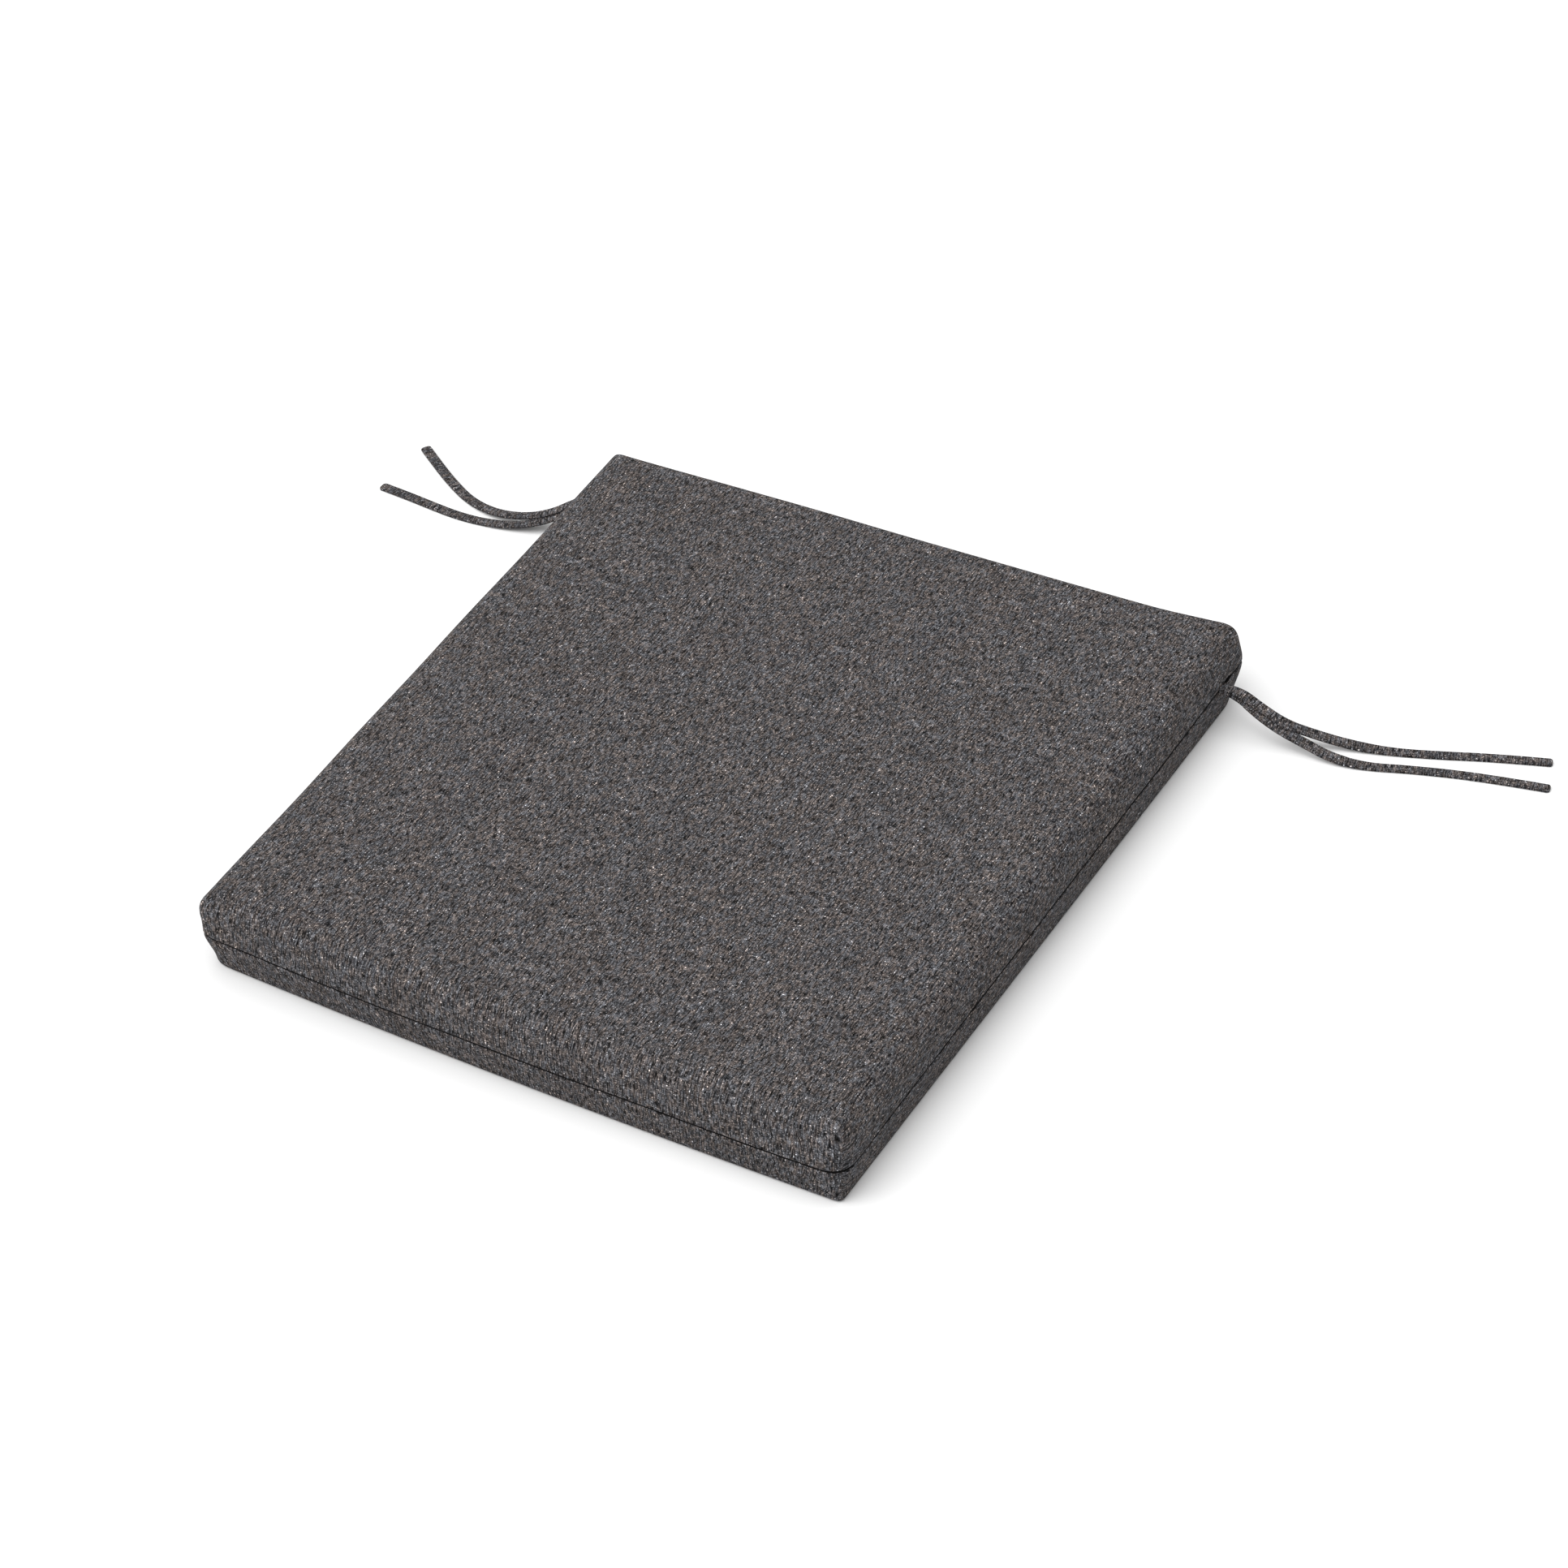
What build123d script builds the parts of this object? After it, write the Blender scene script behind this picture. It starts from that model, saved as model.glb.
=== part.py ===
"""Chair seat pad: a sewn cover with a back zip, its foam and wadding, and two pairs of ties.

All sizes are in millimetres. +Z is up and +Y is the back, where the zip and the ties are. The origin is the
middle of the flat face that the pad rests on.
"""

import os
from math import radians, tan

from build123d import *

os.makedirs("parts", exist_ok=True)

# Driving dimensions of the pad
pad_width = 450.0
pad_depth = 550.0
pad_height = 58.0
seam_height = 28.0
plan_corner = 16.0
top_rounding = 15.0
bottom_rounding = 8.0
cloth = 1.2
seam_allowance = 6.0
inner_gap = 0.3

# Filling
foam_width = 435.0
foam_depth = 535.0
foam_rounding = 10.0
foam_edge_rounding = 9.0
top_wadding_thickness = 8.0
bottom_wadding_thickness = 6.0
seam_room = 3.2

# Sewing thread
thread_width = 0.5
thread_height = 0.3
thread_inset = 1.2
zip_thread_gap = 9.6
tie_thread_gap = 8.5

# Ties: a folded strip, caught in each side seam near the back corner
tie_width = 7.5
tie_thickness = 2.0
tie_stack = 4.2
tie_y = 247.0
tie_inside = 7.0
tie_outside = 1.5
bartack_bars = 4
bartack_pitch = 0.9
fold_relief = 0.1
floor_clearance = 0.1
bend_share = 0.45
guide_height = 100.0

# Back zip
slot_length = 340.0
slot_height = 10.0
hem_width = 8.0
hem_cut_depth = 3.6
tape_length = 346.0
tape_width = 13.0
tape_gap = 1.0
tape_thickness = 0.6
chain_length = 300.0
coil_width = 2.2
coil_gap = 0.6
coil_thickness = 1.8
stop_length = 3.6
stop_clearance = 0.2
topstitch_offset = 9.0

# Zip slider and pull
slider_length = 11.0
slider_wide_end = 8.2
slider_narrow_end = 7.4
slider_corner = 1.2
slider_plate = 1.4
slider_clearance = 0.4
channel_clearance = 0.3
slider_post_length = 3.0
slider_post_width = 0.6
slider_end_room = 1.0
bridge_length = 5.2
bridge_width = 1.8
bridge_post = 1.2
bridge_room = 1.5
bridge_bar = 0.8
pull_length = 20.0
pull_width = 5.2
pull_thickness = 0.8
pull_start = 3.5
pull_window = 3.0
pull_pin_radius = 0.5
pull_hole_length = 7.0
pull_hole_width = 1.8
pull_end_rounding = 2.4

# Care label
label_width = 20.0
label_drop = 24.0
label_thickness = 0.4
label_x = 193.0
label_inside = 6.0

# Places that follow from them
half_width = pad_width / 2
half_depth = pad_depth / 2
inner_width = pad_width - 2 * cloth
inner_depth = pad_depth - 2 * cloth
wadding_width = inner_width - 2 * inner_gap
wadding_depth = inner_depth - 2 * inner_gap
wadding_corner = plan_corner - cloth - inner_gap
wadding_top = pad_height - cloth - inner_gap
wadding_bottom = cloth + inner_gap
foam_bottom = cloth + bottom_wadding_thickness
foam_top = pad_height - cloth - top_wadding_thickness
foam_room_width = foam_width + 2 * inner_gap
foam_room_depth = foam_depth + 2 * inner_gap
slot_reach = slot_length + 2 * hem_width
hem_face = half_depth - 2 * cloth
tape_inner_face = hem_face - tape_thickness
zip_room_depth = 2 * (half_depth - tape_inner_face + inner_gap)
zip_room_height = 2 * (tape_gap + tape_width + inner_gap)
coil_outer_face = hem_face + coil_thickness
slider_inner_top = tape_inner_face - slider_clearance
slider_outer_bottom = coil_outer_face + slider_clearance
slider_outer_top = slider_outer_bottom + slider_plate
slider_inner_bottom = slider_inner_top - slider_plate
flange_end = hem_face + slider_clearance
channel_height = 2 * (coil_gap + coil_width + channel_clearance)
slider_rest_x = -chain_length / 2 + slider_end_room + slider_length / 2
pull_pivot_y = slider_outer_top + bridge_room / 2
anchor_length = tie_inside + tie_outside
anchor_x = half_width + tie_outside - anchor_length / 2
bartack_x = half_width - cloth - bartack_pitch * bartack_bars / 2


def save(piece: BuildPart, name: str) -> None:
    """Label a finished piece and write it to its own STEP file."""
    piece.part.label = name
    export_step(piece.part, f"parts/{name}.step")
    print(f"{name}: {len(piece.part.solids())} solid(s), {piece.part.volume:.1f} mm3")


# Cover panels. Each wraps round one face and half of the side, with its edge turned in at the seam.
# At the back the edge is turned in as a hem on each side of the zip.
for name, face_height, rounding in (
    ("upper_panel", pad_height, top_rounding),
    ("lower_panel", 0.0, bottom_rounding),
):
    rise = face_height - seam_height
    turn = cloth if rise > 0 else -cloth
    hem_reach = slot_height / 2 + hem_width
    hem_rise = hem_reach if rise > 0 else -hem_reach
    with BuildPart() as panel:
        with BuildSketch(Plane.XY.offset(seam_height)):
            RectangleRounded(pad_width, pad_depth, plan_corner)
        extrude(amount=rise)
        seam_side = 0 if rise > 0 else -1
        outer_face = panel.faces().sort_by(Axis.Z)[-1 - seam_side]
        fillet(outer_face.edges(), rounding)
        offset(amount=-cloth, openings=panel.faces().sort_by(Axis.Z)[seam_side])
        with BuildSketch(Plane.XY.offset(seam_height)):
            RectangleRounded(inner_width, inner_depth, plan_corner - cloth)
            RectangleRounded(
                inner_width - 2 * seam_allowance,
                inner_depth - 2 * seam_allowance,
                plan_corner - cloth - seam_allowance,
                mode=Mode.SUBTRACT,
            )
        extrude(amount=turn)
        with BuildSketch(Plane.XY.offset(seam_height)):
            with Locations((0, half_depth - cloth - seam_allowance / 2)):
                Rectangle(slot_reach, seam_allowance)
        extrude(amount=turn, mode=Mode.SUBTRACT)
        with BuildSketch(Plane.XZ.offset(-(half_depth - cloth))):
            with Locations((0, seam_height + hem_rise / 2)):
                Rectangle(slot_reach, hem_reach)
        extrude(amount=cloth)
        with Locations((0, half_depth - cloth, seam_height)):
            Box(slot_length, hem_cut_depth, slot_height, mode=Mode.SUBTRACT)
        with Locations((anchor_x, tie_y, seam_height), (-anchor_x, tie_y, seam_height)):
            Box(anchor_length, tie_width, tie_stack, mode=Mode.SUBTRACT)
        with Locations((label_x, half_depth - label_inside / 2, seam_height)):
            Box(label_width, label_inside, label_thickness, mode=Mode.SUBTRACT)
    save(panel, name)

# Foam block
with BuildPart() as foam_core:
    with BuildSketch(Plane.XY.offset(foam_bottom)):
        RectangleRounded(foam_width, foam_depth, foam_rounding)
    extrude(amount=foam_top - foam_bottom)
    fillet(foam_core.faces().sort_by(Axis.Z)[-1].edges(), foam_edge_rounding)
    fillet(foam_core.faces().sort_by(Axis.Z)[0].edges(), foam_edge_rounding)
save(foam_core, "foam_core")

# Wadding: one sheet folded over the top of the foam and its sides, one under it, parted at the seam
for name, sheet_face, foam_face, rounding in (
    ("top_wadding", wadding_top, foam_top + inner_gap, top_rounding),
    ("bottom_wadding", wadding_bottom, foam_bottom - inner_gap, bottom_rounding),
):
    upwards = sheet_face > seam_height
    parting = seam_height + (seam_room if upwards else -seam_room)
    with BuildPart() as wadding:
        with BuildSketch(Plane.XY.offset(parting)):
            RectangleRounded(wadding_width, wadding_depth, wadding_corner)
        extrude(amount=sheet_face - parting)
        outer_face = wadding.faces().sort_by(Axis.Z)[-1 if upwards else 0]
        fillet(outer_face.edges(), rounding - cloth - inner_gap)
        with BuildSketch(Plane.XY.offset(parting)):
            RectangleRounded(foam_room_width, foam_room_depth, foam_rounding)
        extrude(amount=foam_face - parting, mode=Mode.SUBTRACT)
        with Locations((0, half_depth, seam_height)):
            Box(slot_reach + 2 * inner_gap, zip_room_depth, zip_room_height, mode=Mode.SUBTRACT)
            Box(tape_length, 2 * half_depth - foam_depth, slot_height, mode=Mode.SUBTRACT)
    save(wadding, name)

# Seam thread: the needle thread lies on the upper allowance and the bobbin thread under the lower one
for name, start, rise in (
    ("seam_thread_needle", seam_height + cloth, thread_height),
    ("seam_thread_bobbin", seam_height - cloth, -thread_height),
):
    with BuildPart() as seam_thread:
        with BuildSketch(Plane.XY.offset(start)):
            thread_outside = 2 * thread_inset
            RectangleRounded(
                inner_width - thread_outside,
                inner_depth - thread_outside,
                plan_corner - cloth - thread_inset,
            )
            RectangleRounded(
                inner_width - thread_outside - 2 * thread_width,
                inner_depth - thread_outside - 2 * thread_width,
                plan_corner - cloth - thread_inset - thread_width,
                mode=Mode.SUBTRACT,
            )
            with Locations((0, half_depth)):
                Rectangle(slot_reach, zip_thread_gap, mode=Mode.SUBTRACT)
            with Locations((anchor_x, tie_y), (-anchor_x, tie_y)):
                Rectangle(anchor_length, tie_thread_gap, mode=Mode.SUBTRACT)
        extrude(amount=rise)
    save(seam_thread, name)


# Ties
def tail_path(route: list[tuple[float, float, float]]) -> tuple[Wire, list[float]]:
    """Return the path through a tail's route points and the radius of each of its bends."""
    points = [Vector(*place) for place in route]
    radii = []
    for before, here, after in zip(points, points[1:], points[2:]):
        turn = (here - before).get_angle(after - here)
        shorter = min((here - before).length, (after - here).length)
        radii.append(bend_share * shorter / tan(radians(turn) / 2))
    with BuildLine() as line:
        FilletPolyline(*points, radius=radii)
    return line.wire(), radii


exit_x = half_width + tie_outside
upper_exit = seam_height + tie_stack / 4
lower_exit = seam_height - tie_stack / 4
floor_z = tie_thickness / 2 + floor_clearance
tail_routes = {
    "tie_right_rear": [
        (exit_x, tie_y, upper_exit),
        (243, tie_y, upper_exit),
        (259.5, 244.5, 23),
        (277, 244.5, 16),
        (295, 251.5, 9.2),
        (317, 258.5, 3.6),
        (342, 266.3, floor_z),
        (372, 277.5, floor_z),
        (405, 291.5, floor_z),
        (440, 303.5, floor_z),
    ],
    "tie_right_front": [
        (exit_x, tie_y, lower_exit),
        (241, tie_y, lower_exit),
        (258, 241.5, 20.5),
        (275, 240, 13.7),
        (292, 241.2, 8.2),
        (312, 239.8, 3.8),
        (334, 244.5, floor_z),
        (362, 255.5, floor_z),
        (405, 268.5, floor_z),
        (448.5, 277, floor_z),
    ],
    "tie_left_rear": [
        (-exit_x, tie_y, upper_exit),
        (-231.5, tie_y, upper_exit),
        (-238, 246.9, 27.9),
        (-245.3, 246.5, 24.9),
        (-253.3, 245.2, 19),
        (-263.5, 241.8, 12.2),
        (-277.5, 237.3, 7.1),
        (-294, 234.6, 4.4),
        (-311, 236, 2.6),
        (-329, 242.6, floor_z),
        (-346, 252.6, floor_z),
        (-366, 266.8, floor_z),
        (-388, 284, floor_z),
    ],
    "tie_left_front": [
        (-exit_x, tie_y, lower_exit),
        (-231.6, tie_y, lower_exit),
        (-238.2, 246.8, 25.7),
        (-245.6, 245.7, 22.3),
        (-252.8, 242.8, 16.2),
        (-261.2, 237.7, 10.1),
        (-274.3, 231.3, 5.5),
        (-290, 226.3, 2.7),
        (-308, 223.6, floor_z),
        (-327, 222.6, floor_z),
        (-347, 224.6, floor_z),
        (-368, 227.4, floor_z),
        (-391, 229.5, floor_z),
    ],
}
for name, route in tail_routes.items():
    path, radii = tail_path(route)
    guide = path.moved(Location((0, 0, guide_height)))
    with BuildPart() as tail:
        with BuildSketch(Plane(path @ 0, x_dir=(0, 1, 0), z_dir=path % 0)):
            Rectangle(tie_width, tie_thickness)
        sweep(path=path, binormal=guide)
    expected = path.length * tie_width * tie_thickness
    print(f"{name}: length {path.length:.1f}, radii {[round(r) for r in radii]}, volume/expected "
          f"{tail.part.volume / expected:.3f}, lowest {tail.part.bounding_box().min.Z:.2f}")
    save(tail, name)

for side, sign in (("right", 1), ("left", -1)):
    with BuildPart() as tie_anchor:
        with Locations((sign * anchor_x, tie_y, seam_height)):
            Box(anchor_length, tie_width, tie_stack)
        fold = tie_anchor.faces().sort_by(Axis.X)[0 if sign > 0 else -1]
        fillet(fold.edges().filter_by(Axis.Y), tie_stack / 2 - fold_relief)
    save(tie_anchor, f"tie_anchor_{side}")

    with BuildPart() as tie_bartack:
        bar_z = tie_stack / 2 + thread_height / 2
        for level in (bar_z, -bar_z):
            with Locations((sign * bartack_x, tie_y, seam_height + level)):
                with GridLocations(bartack_pitch, 1, bartack_bars, 1):
                    Box(thread_width, tie_width, thread_height)
    save(tie_bartack, f"tie_bartack_{side}")

# Zip: two tapes, each with its row of coil on the outer side, held to the hems by a stitch line
for side, sign in (("upper", 1), ("lower", -1)):
    with BuildPart() as zip_tape:
        tape_middle = seam_height + sign * (tape_gap + tape_width / 2)
        with Locations((0, hem_face - tape_thickness / 2, tape_middle)):
            Box(tape_length, tape_thickness, tape_width)
    save(zip_tape, f"zip_tape_{side}")

    with BuildPart() as zip_coil:
        coil_middle = seam_height + sign * (coil_gap + coil_width / 2)
        with Locations((0, hem_face + coil_thickness / 2, coil_middle)):
            Box(chain_length, coil_thickness, coil_width)
        fillet(zip_coil.edges().filter_by(Axis.X).group_by(Axis.Y)[-1], coil_thickness / 3)
    save(zip_coil, f"zip_coil_{side}")

    with BuildPart() as zip_stitch:
        stitch_level = seam_height + sign * topstitch_offset
        with Locations((0, half_depth + thread_height / 2, stitch_level)):
            Box(slot_length + hem_width, thread_height, thread_width)
    save(zip_stitch, f"zip_stitch_{side}")

stop_y = hem_face + coil_thickness / 2
stop_offset = chain_length / 2 + stop_clearance + stop_length / 2
with BuildPart() as zip_top_stop:
    for sign in (1, -1):
        with Locations((-stop_offset, stop_y, seam_height + sign * (coil_gap + coil_width / 2))):
            Box(stop_length, coil_thickness, coil_width)
    fillet(zip_top_stop.edges().filter_by(Axis.Z).group_by(Axis.Y)[-1], coil_thickness / 3)
save(zip_top_stop, "zip_top_stop")

with BuildPart() as zip_bottom_stop:
    with Locations((stop_offset, stop_y, seam_height)):
        Box(stop_length, coil_thickness, 2 * (coil_gap + coil_width))
    fillet(zip_bottom_stop.edges().filter_by(Axis.Z).group_by(Axis.Y)[-1], coil_thickness / 3)
save(zip_bottom_stop, "zip_bottom_stop")

# Slider: an outer plate with a flange on each side, and an inner plate, joined by a post that parts the
# coils. Its wide end faces the top stops. A bridge on the outer plate holds the pull.
slider_end_x = slider_rest_x + slider_length / 2
slider_front_x = slider_rest_x - slider_length / 2
channel_middle = (slider_inner_top + slider_outer_bottom) / 2
channel_depth = slider_outer_bottom - slider_inner_top
with BuildPart() as zip_slider:
    with BuildSketch(Plane.XZ.offset(-slider_outer_top)) as slider_outline:
        with BuildLine():
            Polyline(
                (slider_front_x, seam_height - slider_wide_end / 2),
                (slider_end_x, seam_height - slider_narrow_end / 2),
                (slider_end_x, seam_height + slider_narrow_end / 2),
                (slider_front_x, seam_height + slider_wide_end / 2),
                close=True,
            )
        make_face()
        fillet(slider_outline.vertices(), slider_corner)
    extrude(amount=slider_outer_top - slider_inner_bottom)
    with Locations((slider_rest_x, (slider_inner_top + flange_end) / 2, seam_height)):
        Box(slider_length, flange_end - slider_inner_top, slider_wide_end, mode=Mode.SUBTRACT)
    with Locations((slider_rest_x, channel_middle, seam_height)):
        Box(slider_length, channel_depth, channel_height, mode=Mode.SUBTRACT)
    with Locations((slider_front_x + slider_post_length, channel_middle, seam_height)):
        Box(slider_post_length, channel_depth, slider_post_width)
    with Locations((slider_rest_x, slider_outer_top + (bridge_room + bridge_bar) / 2, seam_height)):
        Box(bridge_length, bridge_room + bridge_bar, bridge_width)
    with Locations((slider_rest_x, slider_outer_top + bridge_room / 2, seam_height)):
        Box(bridge_length - 2 * bridge_post, bridge_room, bridge_width, mode=Mode.SUBTRACT)
    fillet(zip_slider.edges().filter_by(Axis.Z).group_by(Axis.Y)[-1], bridge_bar / 2)
save(zip_slider, "zip_slider")

with BuildPart() as zip_pull_tab:
    with BuildSketch(Plane.XZ.offset(-(pull_pivot_y + pull_thickness / 2))) as pull_outline:
        with Locations((slider_rest_x + pull_length / 2, seam_height)):
            Rectangle(pull_length, pull_width)
        fillet(pull_outline.vertices().group_by(Axis.X)[-1], pull_end_rounding)
        with Locations((slider_rest_x + pull_start / 2, seam_height)):
            Rectangle(pull_start, pull_window, mode=Mode.SUBTRACT)
        with Locations((slider_rest_x + pull_length - pull_hole_length, seam_height)):
            SlotOverall(pull_hole_length, pull_hole_width, mode=Mode.SUBTRACT)
    extrude(amount=pull_thickness)
    with Locations((slider_rest_x, pull_pivot_y, seam_height)):
        Cylinder(pull_pin_radius, pull_width)
save(zip_pull_tab, "zip_pull_tab")

# Care label: a blank folded strip that hangs from the back seam
with BuildPart() as care_label:
    with Locations((label_x, half_depth - label_inside / 2, seam_height)):
        Box(label_width, label_inside, label_thickness)
    drop_middle = seam_height + (label_thickness - label_drop) / 2
    with Locations((label_x, half_depth + label_thickness / 2, drop_middle)):
        Box(label_width, label_thickness, label_drop)
save(care_label, "care_label")

print(f"slider rest x {slider_rest_x:.2f}, travel {-2 * slider_rest_x:.2f}")
print(f"pull pivot y {pull_pivot_y:.2f}")
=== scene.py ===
"""Looks of the chair seat pad: its sewn tweed cover, filling, ties, back zip and label, in metres.

+Z is up, +Y is the back edge with the zip, and the origin is the middle of the face that the pad rests on.
"""
import logging
from dataclasses import dataclass, field
from enum import Enum
from math import cos, pi, radians, sin, sqrt
from typing import Any, Callable, Sequence

import bpy
import numpy as np
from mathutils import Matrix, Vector, noise


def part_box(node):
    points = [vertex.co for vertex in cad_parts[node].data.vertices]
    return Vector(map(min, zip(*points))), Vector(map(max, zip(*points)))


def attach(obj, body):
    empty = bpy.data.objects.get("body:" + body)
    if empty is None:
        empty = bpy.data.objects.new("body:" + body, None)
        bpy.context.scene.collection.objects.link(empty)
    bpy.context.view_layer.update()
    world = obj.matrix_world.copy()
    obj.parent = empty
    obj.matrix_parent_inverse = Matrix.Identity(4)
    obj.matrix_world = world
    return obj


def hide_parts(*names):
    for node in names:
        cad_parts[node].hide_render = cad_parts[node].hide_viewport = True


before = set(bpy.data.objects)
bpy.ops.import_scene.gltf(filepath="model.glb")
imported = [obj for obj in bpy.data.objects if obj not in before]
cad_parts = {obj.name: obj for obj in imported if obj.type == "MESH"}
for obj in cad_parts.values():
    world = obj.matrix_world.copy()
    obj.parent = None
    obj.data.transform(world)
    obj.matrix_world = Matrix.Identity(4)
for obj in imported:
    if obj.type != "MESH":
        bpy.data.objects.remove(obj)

LOG = logging.getLogger("seat_pad")
MM = 0.001
TINY = 1e-9
WEAVE_MAP = "weave"
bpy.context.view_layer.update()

Point = tuple[float, float, float]


class Body(str, Enum):
    """The body that the soft pieces and the zip's rows ride on."""

    COVER = "cover"


class Slot(str, Enum):
    """The record's finish slots for the pieces built here."""

    COVER = "cover_fabric"
    TIE = "tie_fabric"
    FOAM = "foam"
    WADDING = "wadding"
    THREAD = "thread"
    TAPE = "zip_tape"
    COIL = "zip_coil"
    LABEL = "label"


class Side(Enum):
    """A side of the pad, with the direction that it faces."""

    FRONT = (0.0, -1.0)
    RIGHT = (1.0, 0.0)
    BACK = (0.0, 1.0)
    LEFT = (-1.0, 0.0)


# ---------------------------------------------------------------------------------------------------------
# Node trees
# ---------------------------------------------------------------------------------------------------------
class Tree:
    """A node tree being wired, with short calls for what this file uses."""

    def __init__(self, tree: bpy.types.NodeTree) -> None:
        """Take the tree to wire, and clear it."""
        self.tree = tree
        tree.nodes.clear()

    def socket(self, name: str, kind: str, incoming: bool = True, value: Any = None) -> str:
        """Add a named socket to a group.

        Args:
            name: The socket's name.
            kind: Its type, such as "Float".
            incoming: True for an input.
            value: Its default.

        Returns:
            The socket's identifier.
        """
        made = self.tree.interface.new_socket(
            name=name, in_out="INPUT" if incoming else "OUTPUT", socket_type=f"NodeSocket{kind}"
        )
        if value is not None:
            made.default_value = value
        return made.identifier

    def add(self, kind: str, inputs: dict[Any, Any] | None = None, **settings: Any) -> bpy.types.Node:
        """Add a node.

        Args:
            kind: The node's type.
            inputs: What each input is set to or wired from, by name or number.
            settings: The node's own properties.

        Returns:
            The node.
        """
        node = self.tree.nodes.new(kind)
        for name, value in settings.items():
            setattr(node, name, value)
        for name, value in (inputs or {}).items():
            if isinstance(value, bpy.types.NodeSocket):
                self.tree.links.new(value, node.inputs[name])
            else:
                node.inputs[name].default_value = value
        return node

    def math(self, operation: str, *values: Any) -> bpy.types.NodeSocket:
        """Return the result of a Math node on up to three values."""
        return self.add("ShaderNodeMath", dict(enumerate(values)), operation=operation).outputs[0]

    def join(self, x: Any, y: Any, z: Any = 0.0) -> bpy.types.NodeSocket:
        """Return a vector made from three values."""
        return self.add("ShaderNodeCombineXYZ", {0: x, 1: y, 2: z}).outputs[0]

    def noise(
        self, place: Any, scale: Any, detail: float = 2.0, roughness: float = 0.5
    ) -> bpy.types.NodeSocket:
        """Return the value of a Noise Texture at a place."""
        inputs = {"Vector": place, "Scale": scale, "Detail": detail, "Roughness": roughness}
        return self.add("ShaderNodeTexNoise", inputs).outputs["Fac"]

    def ramp(
        self, value: Any, low: float, high: float, start: float = 0.0, end: float = 1.0
    ) -> bpy.types.NodeSocket:
        """Return a value smoothly remapped from low..high to start..end."""
        inputs = {"Value": value, "From Min": low, "From Max": high, "To Min": start, "To Max": end}
        return self.add("ShaderNodeMapRange", inputs, interpolation_type="SMOOTHSTEP").outputs["Result"]

    def mix(self, factor: Any, first: Any, second: Any) -> bpy.types.NodeSocket:
        """Return a blend of two colours."""
        node = self.add("ShaderNodeMix", data_type="RGBA")
        for index, value in ((0, factor), (6, first), (7, second)):
            if isinstance(value, bpy.types.NodeSocket):
                self.tree.links.new(value, node.inputs[index])
            else:
                node.inputs[index].default_value = value
        return node.outputs[2]

    def blend(self, factor: Any, first: Any, second: Any) -> bpy.types.NodeSocket:
        """Return a blend of two plain values."""
        return self.add("ShaderNodeMix", {0: factor, 2: first, 3: second}, data_type="FLOAT").outputs[0]

    def scale(self, value: Any, amount: Any) -> bpy.types.NodeSocket:
        """Return a colour or a place scaled by a factor."""
        return self.add("ShaderNodeVectorMath", {0: value, "Scale": amount}, operation="SCALE").outputs[0]

    def vector(self, operation: str, first: Any, second: Any) -> bpy.types.NodeSocket:
        """Return the result of a Vector Math node on two vectors."""
        return self.add("ShaderNodeVectorMath", {0: first, 1: second}, operation=operation).outputs[0]


# ---------------------------------------------------------------------------------------------------------
# Effects that more than one finish uses
# ---------------------------------------------------------------------------------------------------------
def rgba(red: float, green: float, blue: float) -> tuple[float, float, float, float]:
    """Return an opaque colour."""
    return (red, green, blue, 1.0)


@dataclass(frozen=True)
class Clump:
    """How yarns lie paler or deeper together: noise stretched one way, and its darkest and palest factor."""

    per_metre: tuple[float, float, float]
    seed: float
    deep: float
    pale: float


@dataclass(frozen=True)
class WeavePattern:
    """The counts, shares and reaches of the tweed's pattern, per metre and in metres."""

    wander_per_metre: float = 70.0
    wander_reach: float = 0.0016
    lane_step: float = 5.37
    streaks_per_yarn: float = 0.30
    slubs_per_yarn: float = 0.24
    slub_seed: float = 20.0
    slub_edge: float = 0.10
    own_tone: float = 0.30
    streak_tone: float = 0.85
    arch: float = 0.65
    mottle_stretch: tuple[float, float, float] = (1.0, 0.45, 1.0)
    warmth_per_metre: float = 330.0
    patches_per_metre: float = 42.0
    patch_share: float = 0.2
    depth_per_metre: float = 95.0
    along_weft: Clump = Clump((420.0, 1250.0, 1.0), 2.3, 0.50, 1.60)
    along_warp: Clump = Clump((1100.0, 170.0, 1.0), 9.1, 0.02, 2.60)
    flecks_per_metre: tuple[float, float, float] = (1050.0, 620.0, 1.0)
    fleck_tone: float = 0.72
    fuzz_per_metre: float = 5200.0
    fuzz_height: float = 0.35
    slub_height: float = 0.25


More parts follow.
